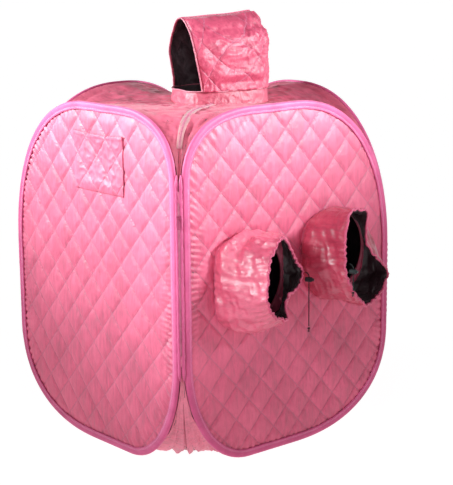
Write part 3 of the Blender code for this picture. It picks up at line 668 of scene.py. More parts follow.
def evenly(points, spacing, closed=True):
    """The same line with its points this far apart."""
    line = np.concatenate([points, points[:1]]) if closed else points
    run = np.concatenate([[0], np.cumsum(np.linalg.norm(np.diff(line, axis=0), axis=1))])
    count = max(int(round(run[-1] / spacing)), 4)
    at = np.linspace(0, run[-1], count, endpoint=not closed)
    return np.stack([np.interp(at, run, part) for part in line.T], -1)


# How pieces are fastened


def fasten(piece, node, body):
    """The piece stands for a CAD node and rides on a body."""
    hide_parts(node)
    trim(piece, body)


def trim(piece, body):
    """The piece rides on a body."""
    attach(piece, body)


def fold_with_base(made):
    """The piece gets a mesh of its own."""
    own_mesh(made)


def fold_with_wall(made):
    """The piece gets a mesh of its own."""
    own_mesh(made)


def dress(name, paint, bevel=0.0):
    """A CAD part keeps its shape and gets its material and broken edges."""
    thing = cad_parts[name]
    thing.data.materials.clear()
    thing.data.materials.append(paint)
    if bevel:
        edge = thing.modifiers.new("bevel", "BEVEL")
        edge.width = bevel
        edge.segments = 2
        edge.limit_method = "ANGLE"
        edge.angle_limit = radians(35)
        edge.harden_normals = False


# The walls' outline


def rounds(wall):
    """(top, foot) of the wall's left end, then of its right end."""
    entry, other = (ENTRY_TOP, ENTRY_FOOT), (OTHER_TOP, OTHER_FOOT)
    return (entry if wall == "front" else other), (entry if wall == "left" else other)


def outline_depth(wall, u, z):
    """How far inside the outline each point is."""
    left, right = rounds(wall)
    on_top = z > HEIGHT / 2
    by_end = [np.where(on_top[..., None], top, foot) for top, foot in (left, right)]
    across, up, exponent = np.moveaxis(np.where((u > 0)[..., None], by_end[1], by_end[0]), -1, 0)
    du = np.maximum(np.abs(u) - (WALL_HALF - across), 0)
    dv = np.where(on_top, np.maximum(z - (HEIGHT - up), 0), np.maximum(up - z, 0))
    level = np.maximum(((du / across) ** exponent + (dv / up) ** exponent) ** (1 / exponent), 1e-6)
    depth = np.hypot(du, dv) * (1 / level - 1)
    # between the rounds the nearest edge is a straight one
    straight = np.minimum(WALL_HALF - np.abs(u), np.minimum(z, HEIGHT - z))
    return np.where((du > 0) & (dv > 0), np.minimum(depth, straight), straight)


def quarter(across, up, exponent, steps=70):
    """A quarter of a rounded outline, from its side to its top."""
    turns = np.linspace(0, pi / 2, steps)
    return pack(np.cos(turns), np.sin(turns)).clip(0) ** (2 / exponent) * (across, up)


def outline(wall):
    """The wall's closed outline, anticlockwise seen from outside."""
    ends = []
    for top, foot in rounds(wall):
        below = (WALL_HALF - foot[0], foot[1]) + quarter(*foot)[::-1] * (1, -1)
        above = (WALL_HALF - top[0], HEIGHT - top[1]) + quarter(*top)
        ends.append(np.concatenate([below, above]))
    left, right = ends
    return np.concatenate([right, (left * (-1, 1))[::-1]])


def wall_matrix(wall):
    """Local X runs along the wall, local Y up and local Z out of the cabin."""
    turn = Matrix.Rotation(WALLS.index(wall) * pi / 2, 4, "Z")
    return turn @ Matrix.Translation((0, -HALF_PLAN, 0)) @ Matrix.Rotation(pi / 2, 4, "X")


# Cords, with their knots and locks

CORD_RADIUS = 0.0015
CORD_BEND = 0.012
CORD_STEP = 0.012
BEND_STEPS = 4
CUFF_RADIUS = 0.0032
SLEEVE_CLOTH = 0.0035
GAP = 0.0006
KNOT_FOOT = 0.0058
KNOT_SIZE = 0.00105
FRAYS = 7
CORDS = {"left": {"side": 1, "drop": 0.155}, "right": {"side": -1, "drop": 0.075}}


def cuff_frame(side):
    """Middle of the cuff, its outward direction and its sideways direction."""
    turn = radians(SLEEVES[side]["turn"])
    out = np.array([sin(turn), -cos(turn), 0.0])
    across = np.array([cos(turn), sin(turn), 0.0])
    return np.array(SLEEVES[side]["cuff"]), out, across


def cord_route(side):
    """Out of the hem, over in a small bend, then straight down through the lock, as the CAD cord goes."""
    cuff, out, across = cuff_frame(side)
    which = CORDS[side]["side"]
    rim = cuff + across * which * SLEEVES[side]["radius"] + out * (2 * CUFF_RADIUS + GAP)
    start = rim - across * which * SLEEVE_CLOTH / 2 + out * GAP
    down = np.array([0.0, 0.0, -1.0])
    hang = CORDS[side]["drop"] - CORD_BEND
    turns = [pi / 2 * i / BEND_STEPS for i in range(BEND_STEPS)]
    knots = [start + (out * sin(t) + down * (1 - cos(t))) * CORD_BEND for t in turns]
    steps = round(hang / CORD_STEP)
    knots += [start + (out + down) * CORD_BEND + down * hang * i / steps for i in range(steps + 1)]
    return round_spline(knots, 6 * len(knots), closed=False)


def make_knot(side, foot):
    """An overhand knot with a frayed end."""
    t = np.linspace(0, 2 * pi, 60, endpoint=False)
    loop = pack(np.sin(t) + 2 * np.sin(2 * t), np.cos(t) - 2 * np.cos(2 * t), -1.6 * np.sin(3 * t))
    made = tube(side + "_knot", loop * KNOT_SIZE + foot, 0.00115, CORD, closed=True)
    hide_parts(side + "_cord_knot")
    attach(made, "front_wall")
    strands = []
    for k in range(FRAYS):
        angle = 2 * pi * k / FRAYS
        tip = foot + (0.0034 * cos(angle), 0.0034 * sin(angle), -0.0095 - 0.0011 * (k % 3))
        middle = (foot + tip) / 2 + (0.0006 * sin(angle), -0.0006 * cos(angle), 0)
        line = round_spline([foot + (0, 0, -0.001), middle, tip], 8, closed=False)
        strand = tube(f"{side}_knot_fray_{k}", line, 0.00045, CORD, 6)
        strand.parent = made
        strand.matrix_parent_inverse = made.matrix_world.inverted()
        strands.append(strand)
    return [made] + strands


def make_lock_spring(side):
    """The coil behind the button, which the button squeezes against the lock's inner end."""
    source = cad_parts[side + "_lock_spring"]
    points = np.array([source.matrix_world @ vertex.co for vertex in source.data.vertices])
    faces = [list(polygon.vertices) for polygon in source.data.polygons]
    made = put(side + "_coil", points, faces, [CHROME])
    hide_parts(side + "_lock_spring")
    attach(made, side + "_lock")
    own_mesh(made)
    return made


def make_cord(side):
    points = cord_route(side)
    cord = tube(side + "_cord", points, CORD_RADIUS, CORD, 10)
    fasten(cord, side + "_drawcord", "front_wall")
    carried = make_knot(side, points[-1] + (0, 0, -KNOT_FOOT))
    carried += [make_lock_spring(side), side + "_cord_lock", side + "_lock_button"]
    dress(side + "_cord_lock", BLACK, 0.0007)
    dress(side + "_lock_button", BLACK, 0.0005)


for side in CORDS:
    make_cord(side)


# Walls: quilted panels and their bound channels, on the hoops

QUILT_EDGE = 0.0115  # the panel ends this far inside the outline, within the binding
FLAT_EDGE = 0.021
PUFF = 0.0050
VALLEY = 0.0008
CELLS = {"front": 12, "left": 12, "right": 9, "back": 9}  # along each side of a diamond
PANEL_HOLES = {
    "front": [(*SLEEVES["left"]["base"], 0.1205), (*SLEEVES["right"]["base"], 0.1205)],
    "back": [(*INLET_PLACE, INLET_RADIUS)],
}
# Where the binding gathers the panel: along the wall, height, reach and strength
PUCKERS = {
    "front": ((-0.37, 0.56, 0.18, 0.0054), (-0.22, 0.93, 0.14, 0.0016), (0.36, 0.30, 0.2, 0.0014),
              (-0.2, 0.08, 0.2, 0.0024)),
    "left": ((0.37, 0.36, 0.17, 0.0056), (-0.30, 0.82, 0.20, 0.0030), (0.25, 0.10, 0.18, 0.0022),
             (-0.36, 0.30, 0.2, 0.0018)),
    "right": ((-0.36, 0.50, 0.20, 0.0016), (0.30, 0.80, 0.20, 0.0018), (0.2, 0.08, 0.2, 0.0014)),
    "back": ((-0.36, 0.42, 0.20, 0.0016), (0.33, 0.70, 0.22, 0.0018), (0.1, 0.95, 0.2, 0.0012)),
}
PUCKER_PITCH = 0.0215


def scatter(i, j, seed):
    """A repeatable number from 0 to 1 for each pair of whole numbers."""
    mixed = np.sin(i * 127.1 + j * 311.7 + seed * 74.7) * 43758.5453
    return mixed - np.floor(mixed)


def quilt_height(wall, u, z, depth):
    """How far the quilting stands out of the wall: pillows between the stitches, flat at the binding."""
    c = u / QUILT_WIDE + z / QUILT_TALL - QUILT_START[wall][0]
    d = u / QUILT_WIDE - z / QUILT_TALL - QUILT_START[wall][1]
    seed = WALLS.index(wall)
    fill = 0.82 + 0.30 * scatter(np.floor(c), np.floor(d), seed)
    lean = (scatter(np.floor(c), np.floor(d), seed + 5) - 0.5) * 0.5
    in_c, in_d = c - np.floor(c) - 0.5, d - np.floor(d) - 0.5
    pillow = (np.abs(np.cos(pi * in_c)) * np.abs(np.cos(pi * in_d))).clip(0) ** 0.34
    pillow = pillow * fill * (1 + lean * (in_c + in_d) * 1.2)
    place = pack(u, z)
    lower = 0.5 + 0.9 * (1 - soft_step(z, 0.1, 0.6)) if wall in ("front", "left") else 0.75
    soft = ripple(place, 0.034, 11 + seed, 3) * 0.00042
    soft = soft + crease(place * (1.0, 0.45), 0.042, 31 + seed) * 0.00055 * lower
    damp = soft_step(depth, FLAT_EDGE - 0.006, 0.052)
    slack = ripple(place, 0.33, 51 + seed, 1) * 0.0016 * soft_step(depth, 0.03, 0.16)
    return VALLEY + (PUFF + soft) * pillow * (0.30 + 0.70 * damp) * soft_step(depth, 0.010, 0.030) + slack


def puckers(wall, u, z, depth):
    """Short folds that run in from the binding where the panel was gathered on to it."""
    run = np.arctan2(z - HEIGHT / 2, u) * 0.5
    run = 2 * pi * (run + 0.006 * ripple(pack(u, z), 0.12, 71, 1)) / PUCKER_PITCH
    total = 0.0005
    for middle_u, middle_z, reach, strength in PUCKERS[wall]:
        total = total + strength * np.exp(-((u - middle_u) ** 2 + (z - middle_z) ** 2) / reach ** 2)
    inward = soft_step(depth, 0.016, 0.026) * np.exp(-((depth - 0.026).clip(0) / 0.034) ** 1.6)
    return total * inward * (np.sin(run) + 0.4 * np.sin(run / 0.61 + 1.3))


def panel_surface(wall, u, z):
    depth = outline_depth(wall, u, z)
    return quilt_height(wall, u, z, depth) + puckers(wall, u, z, depth)


def edge_loops(cells):
    """The directed edges that belong to one cell only."""
    edges = np.stack([cells, np.roll(cells, -1, axis=1)], -1).reshape(-1, 2)
    key = np.sort(edges, axis=1) @ np.array([1 << 24, 1])
    _, first, count = np.unique(key, return_index=True, return_counts=True)
    return edges[first[count == 1]]


def panel_cells(wall, holes):
    """Places, cells, edges and cell size of the quilting's grid, inside the outline and off the holes."""
    fine = max(int(CELLS[wall] * FINE), 5)
    c = -8.0 + np.arange(26 * fine + 1) / fine + QUILT_START[wall][0]
    d = -16.0 + np.arange(26 * fine + 1) / fine + QUILT_START[wall][1]
    c, d = np.meshgrid(c, d, indexing="ij")
    u, z = QUILT_WIDE * (c + d) / 2, QUILT_TALL * (c - d) / 2
    step = 0.068 / fine
    inside = outline_depth(wall, u, z) > QUILT_EDGE + step * 0.35
    for middle_u, middle_z, radius in holes:
        inside &= np.hypot(u - middle_u, z - middle_z) > radius + step * 0.35
    number = np.arange(u.size).reshape(u.shape)
    cells = np.stack([number[:-1, :-1], number[:-1, 1:], number[1:, 1:], number[1:, :-1]], -1).reshape(-1, 4)
    cells = cells[inside.ravel()[cells].all(axis=1)]
    rim = edge_loops(cells)
    used, cells = np.unique(cells, return_inverse=True)
    return u.ravel()[used], z.ravel()[used], cells.reshape(-1, 4), np.searchsorted(used, rim), step


def trim_panel(wall, u, z, rim, holes, step):
    """The cells' last corners are pulled on to the outline and on to the edges of the holes."""
    at_rim = np.zeros(len(u), bool)
    at_rim[rim] = True
    for middle_u, middle_z, radius in holes:
        away = np.hypot(u - middle_u, z - middle_z)
        snap = at_rim & (away < radius + 3 * step)
        share = np.where(snap, radius / away, 1)
        u, z = middle_u + (u - middle_u) * share, middle_z + (z - middle_z) * share
        at_rim &= ~snap
    nudge = 0.0008
    for _ in range(3):
        depth = outline_depth(wall, u, z)
        slope_u = (outline_depth(wall, u + nudge, z) - outline_depth(wall, u - nudge, z)) / (2 * nudge)
        slope_z = (outline_depth(wall, u, z + nudge) - outline_depth(wall, u, z - nudge)) / (2 * nudge)
        size = np.maximum(slope_u ** 2 + slope_z ** 2, 0.25)
        move = np.where(at_rim, (depth - QUILT_EDGE) / size, 0)
        u, z = u - slope_u * move, z - slope_z * move
    return u, z


def make_panel(wall):
    """A quilted panel: cells along the rows of stitches, trimmed to the outline and round the holes."""
    holes = PANEL_HOLES.get(wall, ())
    u, z, cells, rim, step = panel_cells(wall, holes)
    u, z = trim_panel(wall, u, z, rim, holes, step)
    out = panel_surface(wall, u, z)
    for middle_u, middle_z, radius in holes:
        away = np.hypot(u - middle_u, z - middle_z) - radius
        out = out * (0.35 + 0.65 * soft_step(away, 0.0, 0.03)) + 0.0012 * (1 - soft_step(away, 0.0, 0.03))
        # the panel is gathered a little round the opening
        fan = np.sin(np.arctan2(z - middle_z, u - middle_u) * 23 + 2 * ripple(pack(u, z), 0.1, 91, 1))
        out = out + 0.0011 * fan * np.exp(-np.abs(away - 0.012) / 0.018) * soft_step(away, 0.0, 0.01)
    back = -0.0022 - 0.35 * (out - VALLEY).clip(0)
    count = len(u)
    sides = np.concatenate([rim[:, ::-1], rim + count], -1)
    faces = np.concatenate([cells, cells[:, ::-1] + count, sides])
    kinds = np.repeat([0, 1, 0], [len(cells), len(cells), len(sides)])
    points = np.concatenate([pack(u, z, out), pack(u, z, back)])
    made = put(wall + "_panel", points, faces, [QUILTED[wall], LINING], kinds, None, wall_matrix(wall))
    fasten(made, wall + "_quilt", wall + "_wall")


# depth from the outline and height from the wall's middle plane, over the channel from front to back
CHANNEL = ((0.0242, 0.0038), (0.0236, 0.0054), (0.0212, 0.0060), (0.0178, 0.0058), (0.0150, 0.0064),
           (0.0095, 0.0070), (0.0045, 0.0064), (0.0014, 0.0042), (0.0, 0.0))
HOLLOW = ((0.0240, 0.0030), (0.0180, 0.0042), (0.0095, 0.0054), (0.0040, 0.0044), (0.0016, 0.0))


def make_edging(wall):
    """The bound channel that holds the spring hoop: one folded tape round the whole panel."""
    loop = evenly(outline(wall), 0.0072 / FINE)
    tangent = unit(np.roll(loop, -1, 0) - np.roll(loop, 1, 0))
    inward = pack(-tangent[:, 1], tangent[:, 0])
    length = np.linalg.norm(loop[1] - loop[0])
    front, hollow = np.array(CHANNEL), np.array(HOLLOW)
    profile = np.concatenate([front, front[-2::-1] * (1, -1), hollow * (1, -1), hollow[-2::-1]])
    count, wide = len(loop), len(profile)
    side = np.sign(profile[:, 1])
    place = pack(loop[:, 0], loop[:, 1], 0.0)
    gather = 0.35 + 0.65 * soft_step(ripple(place, 0.30, 17 + WALLS.index(wall), 1), -0.5, 0.6)
    run = np.arange(count) * length
    small = (np.sin(2 * pi * run / 0.0125 + 2.5 * ripple(place, 0.08, 23, 1)) * gather)[:, None]
    drift = ripple(place, 0.05, 29 + WALLS.index(wall), 2)[:, None]
    inner_share = soft_step(profile[:, 0], 0.010, 0.022)
    body_share = soft_step(profile[:, 0], 0.001, 0.006) * (1 - soft_step(profile[:, 0], 0.013, 0.019))
    depth = profile[:, 0] + inner_share * (0.0007 * drift + 0.00035 * small)
    proud = inner_share * 0.00055 * small + body_share * (0.0004 * drift + 0.0003 * small)
    high = profile[:, 1] + side * proud
    flat = loop[:, None] + inward[:, None] * depth[..., None]
    cells, corners = grid_cells(count + 1, wide, True)
    across = np.where(side >= 0, profile[:, 0], -profile[:, 0])
    uv = pack(corners[..., 0] * length, across[corners[..., 1] % wide])
    points = np.concatenate([flat, high[..., None]], -1)
    made = put(wall + "_edging", points, cells % (count * wide), [BINDING], None, uv, wall_matrix(wall))
    fasten(made, wall + "_binding", wall + "_wall")


for wall in WALLS:
    make_panel(wall)
    make_edging(wall)
    dress(wall + "_hoop", STEEL)
    dress(wall + "_ferrule", CHROME)


# Roof and floor cloth, in four gores each

GORE_EDGE = 0.0068  # from a wall's plane to where its gore is sewn on
SEAM_GAP = 0.0004
GORE_CLOTH = 0.0011


def hoop_fall(distance, across, exponent):
    """How far a hoop has bent down at its end, as a share of the whole bend."""
    share = np.clip((distance - (WALL_HALF - across)) / across, 0, 1)
    return 1 - (1 - share ** exponent).clip(0) ** (1 / exponent)


def cloth_fall(x, y, entry, other):
    """How far the cloth has fallen from the hoops' highest line, as in the CAD model."""
    near_entry = (x < 0) & (y < 0)
    total = np.zeros(np.shape(x))
    for picked, (across, up, exponent) in ((near_entry, entry), (~near_entry, other)):
        share_x = hoop_fall(np.abs(x), across, exponent)
        share_y = hoop_fall(np.abs(y), across, exponent)
        taut = np.sqrt(share_x * share_y * (1 - share_x) * (1 - share_y))
        total = np.where(picked, up * (share_x * share_y + LOBE_PULL * taut), total)
    return total


def slack_folds(x, y, seed):
    """Loose folds of the unquilted cloth, none where it is sewn down."""
    place = pack(x, y)
    radius = np.hypot(x - HOOD_CENTRE[0], y - HOOD_CENTRE[1])
    angle = np.arctan2(y - HOOD_CENTRE[1], x - HOOD_CENTRE[0])
    rays = np.sin(angle * 17 + 3.0 * ripple(place, 0.25, seed, 1)) * 0.6 + np.sin(angle * 29 + 1.7) * 0.35
    rays = rays * bell(radius, 0.19, 0.12)
    loose = crease(place, 0.13, seed + 3) + 0.5 * crease(place, 0.06, seed + 4)
    edge = HALF_PLAN - np.maximum(np.abs(x), np.abs(y))
    held = soft_step(edge, 0.008, 0.05) * soft_step(radius, 0.125, 0.17)
    return (0.0035 * rays + 0.0032 * loose) * held


def corner_pleats(x, y, strength):
    """Pleats that run from the entry corner, where the zip pulls the cloth together."""
    away = np.hypot(x + HALF_PLAN, y + HALF_PLAN)
    angle = np.arctan2(y + HALF_PLAN, x + HALF_PLAN) - pi / 4
    fan = np.sin(angle * 26 + 1.1 * np.sin(away * 30)) + 0.5 * np.sin(angle * 43 + 0.7)
    held = soft_step(away, 0.012, 0.05) * (1 - soft_step(away, 0.12, 0.26))
    return strength * fan * held * np.cos(angle * 1.6).clip(0)


def floor_crumple(x, y):
    """Small crumples of the floor cloth where it hangs at the entry corner."""
    away = np.hypot(x + HALF_PLAN, y + HALF_PLAN)
    return crease(pack(x, y), 0.022, 61) * (1 - soft_step(away, 0.10, 0.22)) * soft_step(away, 0.01, 0.04)


def roof_lie(x, y):
    """The roof's height without its folds."""
    sag = ROOF_SAG * (1 - (x / HALF_PLAN) ** 2) * (1 - (y / HALF_PLAN) ** 2)
    return HEIGHT - ROOF_DROP - sag - cloth_fall(x, y, ENTRY_TOP, OTHER_TOP)


def roof_height(x, y):
    return roof_lie(x, y) + slack_folds(x, y, 7) + corner_pleats(x, y, 0.0016)


def floor_height(x, y):
    rise = cloth_fall(x, y, ENTRY_FOOT, OTHER_FOOT)
    inside = HALF_PLAN - np.maximum(np.abs(x), np.abs(y))
    # the spare cloth hangs down from the hoops' corners
    rise = FLOOR_LIFT + rise * (1 - 0.5 * soft_step(inside, 0.012, 0.075))
    folds = slack_folds(x, y, 19).clip(0) * soft_step(rise, 0.003, 0.02)
    folds = folds + corner_pleats(x, y, 0.0070) + 0.0030 * floor_crumple(x, y)
    return np.maximum(rise + folds, FLOOR_LIFT)


def collar_outline(angle, grow):
    local = angle - HOOD_TURN
    half_x, half_y = HOOD_HALF_LENGTH + grow, HOOD_HALF_WIDTH + grow
    reach = (np.abs(np.cos(local) / half_x) ** HOOD_ROUND + np.abs(np.sin(local) / half_y) ** HOOD_ROUND)
    reach = reach ** (-1 / HOOD_ROUND)
    return pack(HOOD_CENTRE[0] + np.cos(angle) * reach, HOOD_CENTRE[1] + np.sin(angle) * reach)


def mat_outline(angle, grow):
    reach = (np.abs(np.cos(angle)) ** MAT_ROUND + np.abs(np.sin(angle)) ** MAT_ROUND) ** (-1 / MAT_ROUND)
    return pack(np.cos(angle), np.sin(angle)) * (reach * (MAT_HALF + grow))[..., None]


def turned(wall, x, y):
    """A place on the front wall's side of the plan, turned round to this wall's side."""
    turn = WALLS.index(wall) * pi / 2
    return pack(cos(turn) * x - sin(turn) * y, sin(turn) * x + cos(turn) * y)


# the part of the cabin, its inner outline and middle, its height and its cloth
GORES = {
    "roof": {"inner": collar_outline, "middle": HOOD_CENTRE, "height": roof_height, "satin": ROOF_SATIN,
             "cells": (96, 40), "flat": (0.82, 0.42), "area": 0.16},
    "floor": {"inner": mat_outline, "middle": (0.0, 0.0), "height": floor_height, "satin": LIGHTENED_GUSSET_SATIN,
              "cells": (80, 26), "flat": (0.80, 0.29), "area": 0.09},
}


def gore_plan(wall, part, u, v):
    """The plan of one gore: u from 0 to 1 along its wall, v from 0 at the wall to 1 at the inner outline."""
    half = HALF_PLAN - GORE_EDGE
    edge = turned(wall, np.sin((u - 0.5) * pi) * (half - SEAM_GAP), -half)
    ends = [turned(wall, s * half, -half) - GORES[part]["middle"] for s in (-1, 1)]
    first, last = (atan2(end[1], end[0]) for end in ends)
    last += 2 * pi if last < first else 0
    slack = SEAM_GAP / HOOD_HALF_LENGTH / 2
    angle = first + slack + (last - first - 2 * slack) * u
    return edge + (GORES[part]["inner"](angle, 0.0008) - edge) * (v ** 0.8)[..., None]


def make_gore(wall, part):
    gore = GORES[part]
    across, deep = gore["cells"]
    u, v = grid(int(across * FINE) | 1, int(deep * FINE))
    plan = gore_plan(wall, part, u, v)
    points = pack(plan[..., 0], plan[..., 1], gore["height"](plan[..., 0], plan[..., 1]))
    if part == "floor":
        points = points[:, ::-1]
    made = shell(f"{wall}_{part}_cloth", points, GORE_CLOTH, [gore["satin"], LINING], lengths=(0.8, 0.3))
    fasten(made, f"{wall}_{part}_gore", wall + "_wall")
    fold_with_wall(made)


def make_roof_seam(wall):
    """The pale welt over the seam at the left end of this wall's gore."""
    v = np.linspace(0.0, 1, int(60 * FINE))
    plan = gore_plan(wall, "roof", np.zeros_like(v), v)
    line = pack(plan[:, 0], plan[:, 1], roof_height(plan[:, 0], plan[:, 1]) + 0.0010)
    made = tube(wall + "_roof_seam", line, 0.0014, PIPING)
    trim(made, wall + "_wall")
    fold_with_wall(made)


for wall in WALLS:
    make_gore(wall, "roof")
    make_gore(wall, "floor")
    if wall != "front":
        make_roof_seam(wall)


def make_mat():
    """The floor cloth: a rounded square with a turned-under edge."""
    columns, rows = int(120 * FINE), int(18 * FINE)
    angle = np.arange(columns) / columns * 2 * pi
    share = np.linspace(0.02, 1, rows)
    plan = mat_outline(angle, -0.001)[None] * share[:, None, None]
    high = 0.0034 + 0.0005 * ripple(plan, 0.12, 61, 2) + 0.0006 * bell(share, 0.965, 0.012)[:, None]
    points = pack(plan[..., 0], plan[..., 1], high)[::-1]
    thick = 0.0018
    made = shell("floor_cloth", points, thick, [FELT, FELT], around=True, lengths=(2.2, 0.3))
    # the small hole in the middle is closed
    faces = [list(range(columns)), list(range(2 * columns - 1, columns - 1, -1))]
    for k in range(columns):
        after = (k + 1) % columns
        faces.append([after, k, k + columns, after + columns])
    middle = put("floor_middle", np.concatenate([points[-1], points[-1] - (0, 0, thick)]), faces, [FELT])
    fasten(made, "floor_mat", "base")
    trim(middle, "base")
    fold_with_base(made)
    fold_with_base(middle)


make_mat()


# Neck collar and hood

HOOD_LEAN_START = 0.45
HOOD_LEAN_POWER = 2.2
HOOD_LEAN_ROUND = 0.62
HOOD_BACK_START = 0.7
HOOD_BACK_LEAN = 0.22
RIM_REACH_FOOT = 0.104
RIM_REACH_TOP = 0.126
HOOD_CLOTH = 0.0032
# Where the ridge seam pulls the cloth into rays: round the hood, height, number of rays and strength
HOOD_PULLS = ((0.085, 1.165, 11, 0.0046), (0.19, 1.135, 9, 0.0056), (-0.12, 1.15, 11, 0.0042),
              (-0.22, 1.08, 9, 0.0034))


def signed_power(value, exponent):
    return np.sign(value) * np.abs(value) ** exponent


def to_hood(points):
    """From the hood's own frame, whose X looks out of the face opening, to the room's."""
    x, y, z = np.moveaxis(points, -1, 0)
    return pack(HOOD_CENTRE[0] + cos(HOOD_TURN) * x - sin(HOOD_TURN) * y,
                HOOD_CENTRE[1] + sin(HOOD_TURN) * x + cos(HOOD_TURN) * y, z)


def hood_surface(side, rise):
    """The hood's smooth shape: side is -1 to 1 round its back, rise is 0 at its foot and 1 at its ridge."""
    lean = (rise - HOOD_LEAN_START).clip(0) / (1 - HOOD_LEAN_START)
    half_width = HOOD_HALF_WIDTH * (1 - lean ** HOOD_LEAN_POWER).clip(0) ** HOOD_LEAN_ROUND
    behind = (rise - HOOD_BACK_START).clip(0) / (1 - HOOD_BACK_START)
    half_length = HOOD_HALF_LENGTH * (1 - HOOD_BACK_LEAN * behind ** 2)
    reach = RIM_REACH_FOOT + (RIM_REACH_TOP - RIM_REACH_FOOT) * rise
    angle = side * (pi - np.arccos(np.minimum(reach / HOOD_HALF_LENGTH, 0.99) ** (HOOD_ROUND / 2)))
    along = -signed_power(np.cos(angle), 2 / HOOD_ROUND)
    along = along * np.where(along < 0, half_length, HOOD_HALF_LENGTH)
    across = half_width * signed_power(np.sin(angle), 2 / HOOD_ROUND)
    return pack(along, across, HOOD_FOOT + (HOOD_TOP - HOOD_FOOT) * rise), half_width


def hood_wrinkles(run, high):
    """Creases of the hood's cloth, and the rays that its ridge seam pulls."""
    place = pack(run, high)
    wrinkle = crease(place * (1.0, 0.8), 0.085, 401) * 0.0020
    wrinkle = wrinkle + crease(place * (0.7, 1.0), 0.034, 402) * 0.0016
    cluster = np.exp(-((run - 0.16) ** 2 + (high - 1.13) ** 2) / 0.06 ** 2)
    cluster = cluster + 0.8 * np.exp(-((run + 0.17) ** 2 + (high - 1.11) ** 2) / 0.06 ** 2)
    wrinkle = wrinkle * (0.7 + 0.8 * cluster)
    for pull_run, pull_high, count, strength in HOOD_PULLS:
        turn = np.arctan2(high - pull_high, run - pull_run)
        away = np.hypot(high - pull_high, run - pull_run)
        bent = turn * count / 2 + 1.2 * ripple(place, 0.05, 405, 1)
        ray = (1 - np.abs(np.sin(bent))) ** 2 * bell(away, 0, 0.085) * soft_step(away, 0.004, 0.02)
        wrinkle = wrinkle + strength * ray
    return wrinkle


def hood_shape(side, v):
    """The same with its rim out of true, its pillows and wrinkles; v is 0 at the foot and 1 at the ridge."""
    rise = np.sin(v * pi / 2)
    base, half_width = hood_surface(side, rise)
    normals = -grid_normals(base)
    at_rim = soft_step(np.abs(side), 0.80, 1.0)
    # the left cheek sags forward at half height and the right one bows out
    cheek = bell(rise, 0.52, 0.26)
    base[..., 0] += at_rim * cheek * np.where(side < 0, 0.004, 0.010)
    base[..., 1] += at_rim * cheek * np.where(side < 0, -0.006, 0.012)
    run = side * HOOD_ROUND_HALF
    high = base[..., 2].copy()
    c = run / QUILT_WIDE + high / QUILT_TALL + 0.35
    d = run / QUILT_WIDE - high / QUILT_TALL + 0.15
    pillow = (np.abs(np.sin(pi * c)) * np.abs(np.sin(pi * d))).clip(0) ** 0.36
    gather = np.sin(run * 2 * pi / 0.020 + 2.5 * ripple(pack(run, high), 0.07, 403, 1)) * 0.0014
    gather = gather * (1 - soft_step(rise, 0.0, 0.18))
    wrinkle = hood_wrinkles(run, high)
    # the ridge is pulled up towards the back
    base[..., 2] += 0.013 * soft_step(rise, 0.62, 1.0) * soft_step(1 - np.abs(side), 0.12, 0.85)
    sag = -0.007 * bell(rise - 0.84 + 0.10 * np.abs(run), 0, 0.05) * (1 - 0.4 * np.abs(side))
    # a fold above the collar on each side
    above = base[..., 2] - HOOD_FOOT
    fold = 0.004 * bell(above, 0.050, 0.014) - 0.006 * bell(above, 0.024, 0.009)
    sag = sag + (bell(run, 0.20, 0.07) + bell(run, -0.20, 0.07)) * fold
    out = (0.0050 * pillow + 0.9 * wrinkle + gather + sag) * (1 - soft_step(rise, 0.965, 1.0))
    out = out * soft_step(half_width, 0.004, 0.03) * (1 - 0.6 * soft_step(np.abs(side), 0.93, 1.0))
    return base + normals * out[..., None], half_width


def make_hood():
    columns = int(170 * FINE) | 1
    side, v = np.meshgrid(np.linspace(-1, 1, columns), np.linspace(0, 1, int(74 * FINE)))
    points, half_width = hood_shape(side, v)
    thick = np.minimum(HOOD_CLOTH, half_width * 0.4 + 0.0002)
    made = shell("hood_cloth", to_hood(points)[:, ::-1], thick[:, ::-1], [DARKENED_HOOD_SATIN, LINING],
                 lengths=(2 * HOOD_ROUND_HALF, 0.22))
    fasten(made, "hood_shell", "base")
    rim = to_hood(np.concatenate([points[:, 0], points[-2::-1, -1]]) + (0.0016, 0, 0))
    piping = tube("hood_piping", evenly(rim, 0.004, closed=False), 0.0021, PIPING)
    fasten(piping, "hood_face_binding", "base")
    ridge = to_hood(points[-1, columns // 2 - 1 :: -1] + (0, 0, 0.0006))
    seam = tube("hood_ridge_seam", evenly(ridge, 0.004, closed=False), 0.0015, HEM)
    trim(seam, "base")
    for piece in (made, piping, seam):
        fold_with_base(piece)


def make_collar():
    """The gathered band between the roof and the hood, with the piping that the hood is sewn to."""
    angle, v = ring_grid(int(220 * FINE), int(22 * FINE))
    place = pack(np.cos(angle) * 0.14, np.sin(angle) * 0.12, v * 0.055)
    gathers = np.sin(angle * 43 + 9 * ripple(place, 0.06, 501, 2)) * 0.0011 * np.sin(pi * v.clip(0.08, 0.92))
    slump = (0.0035 + 0.0016 * ripple(place, 0.06, 502, 2)) * np.sin(pi * v)
    plan = collar_outline(angle, gathers + slump + 0.006 * (1 - v) ** 3 - 0.001)
    points = pack(plan[..., 0], plan[..., 1], COLLAR_FOOT + (HOOD_FOOT + 0.0012 - COLLAR_FOOT) * v)
    made = shell("collar_cloth", points, 0.0030, [DARKENED_COLLAR_SATIN, LINING], around=True, lengths=(0.8, 0.055))
    fasten(made, "neck_collar", "base")
    ring = np.arange(200) / 200 * 2 * pi
    plan = collar_outline(ring, 0.0012)
    line = pack(plan[:, 0], plan[:, 1], HOOD_FOOT + 0.0005 + 0.0008 * np.sin(ring * 9))
    piping = tube("collar_piping", line, 0.0021, PIPING, closed=True)
    trim(piping, "base")
    fold_with_base(made)
    fold_with_base(piping)


make_collar()
make_hood()


# Arm sleeves

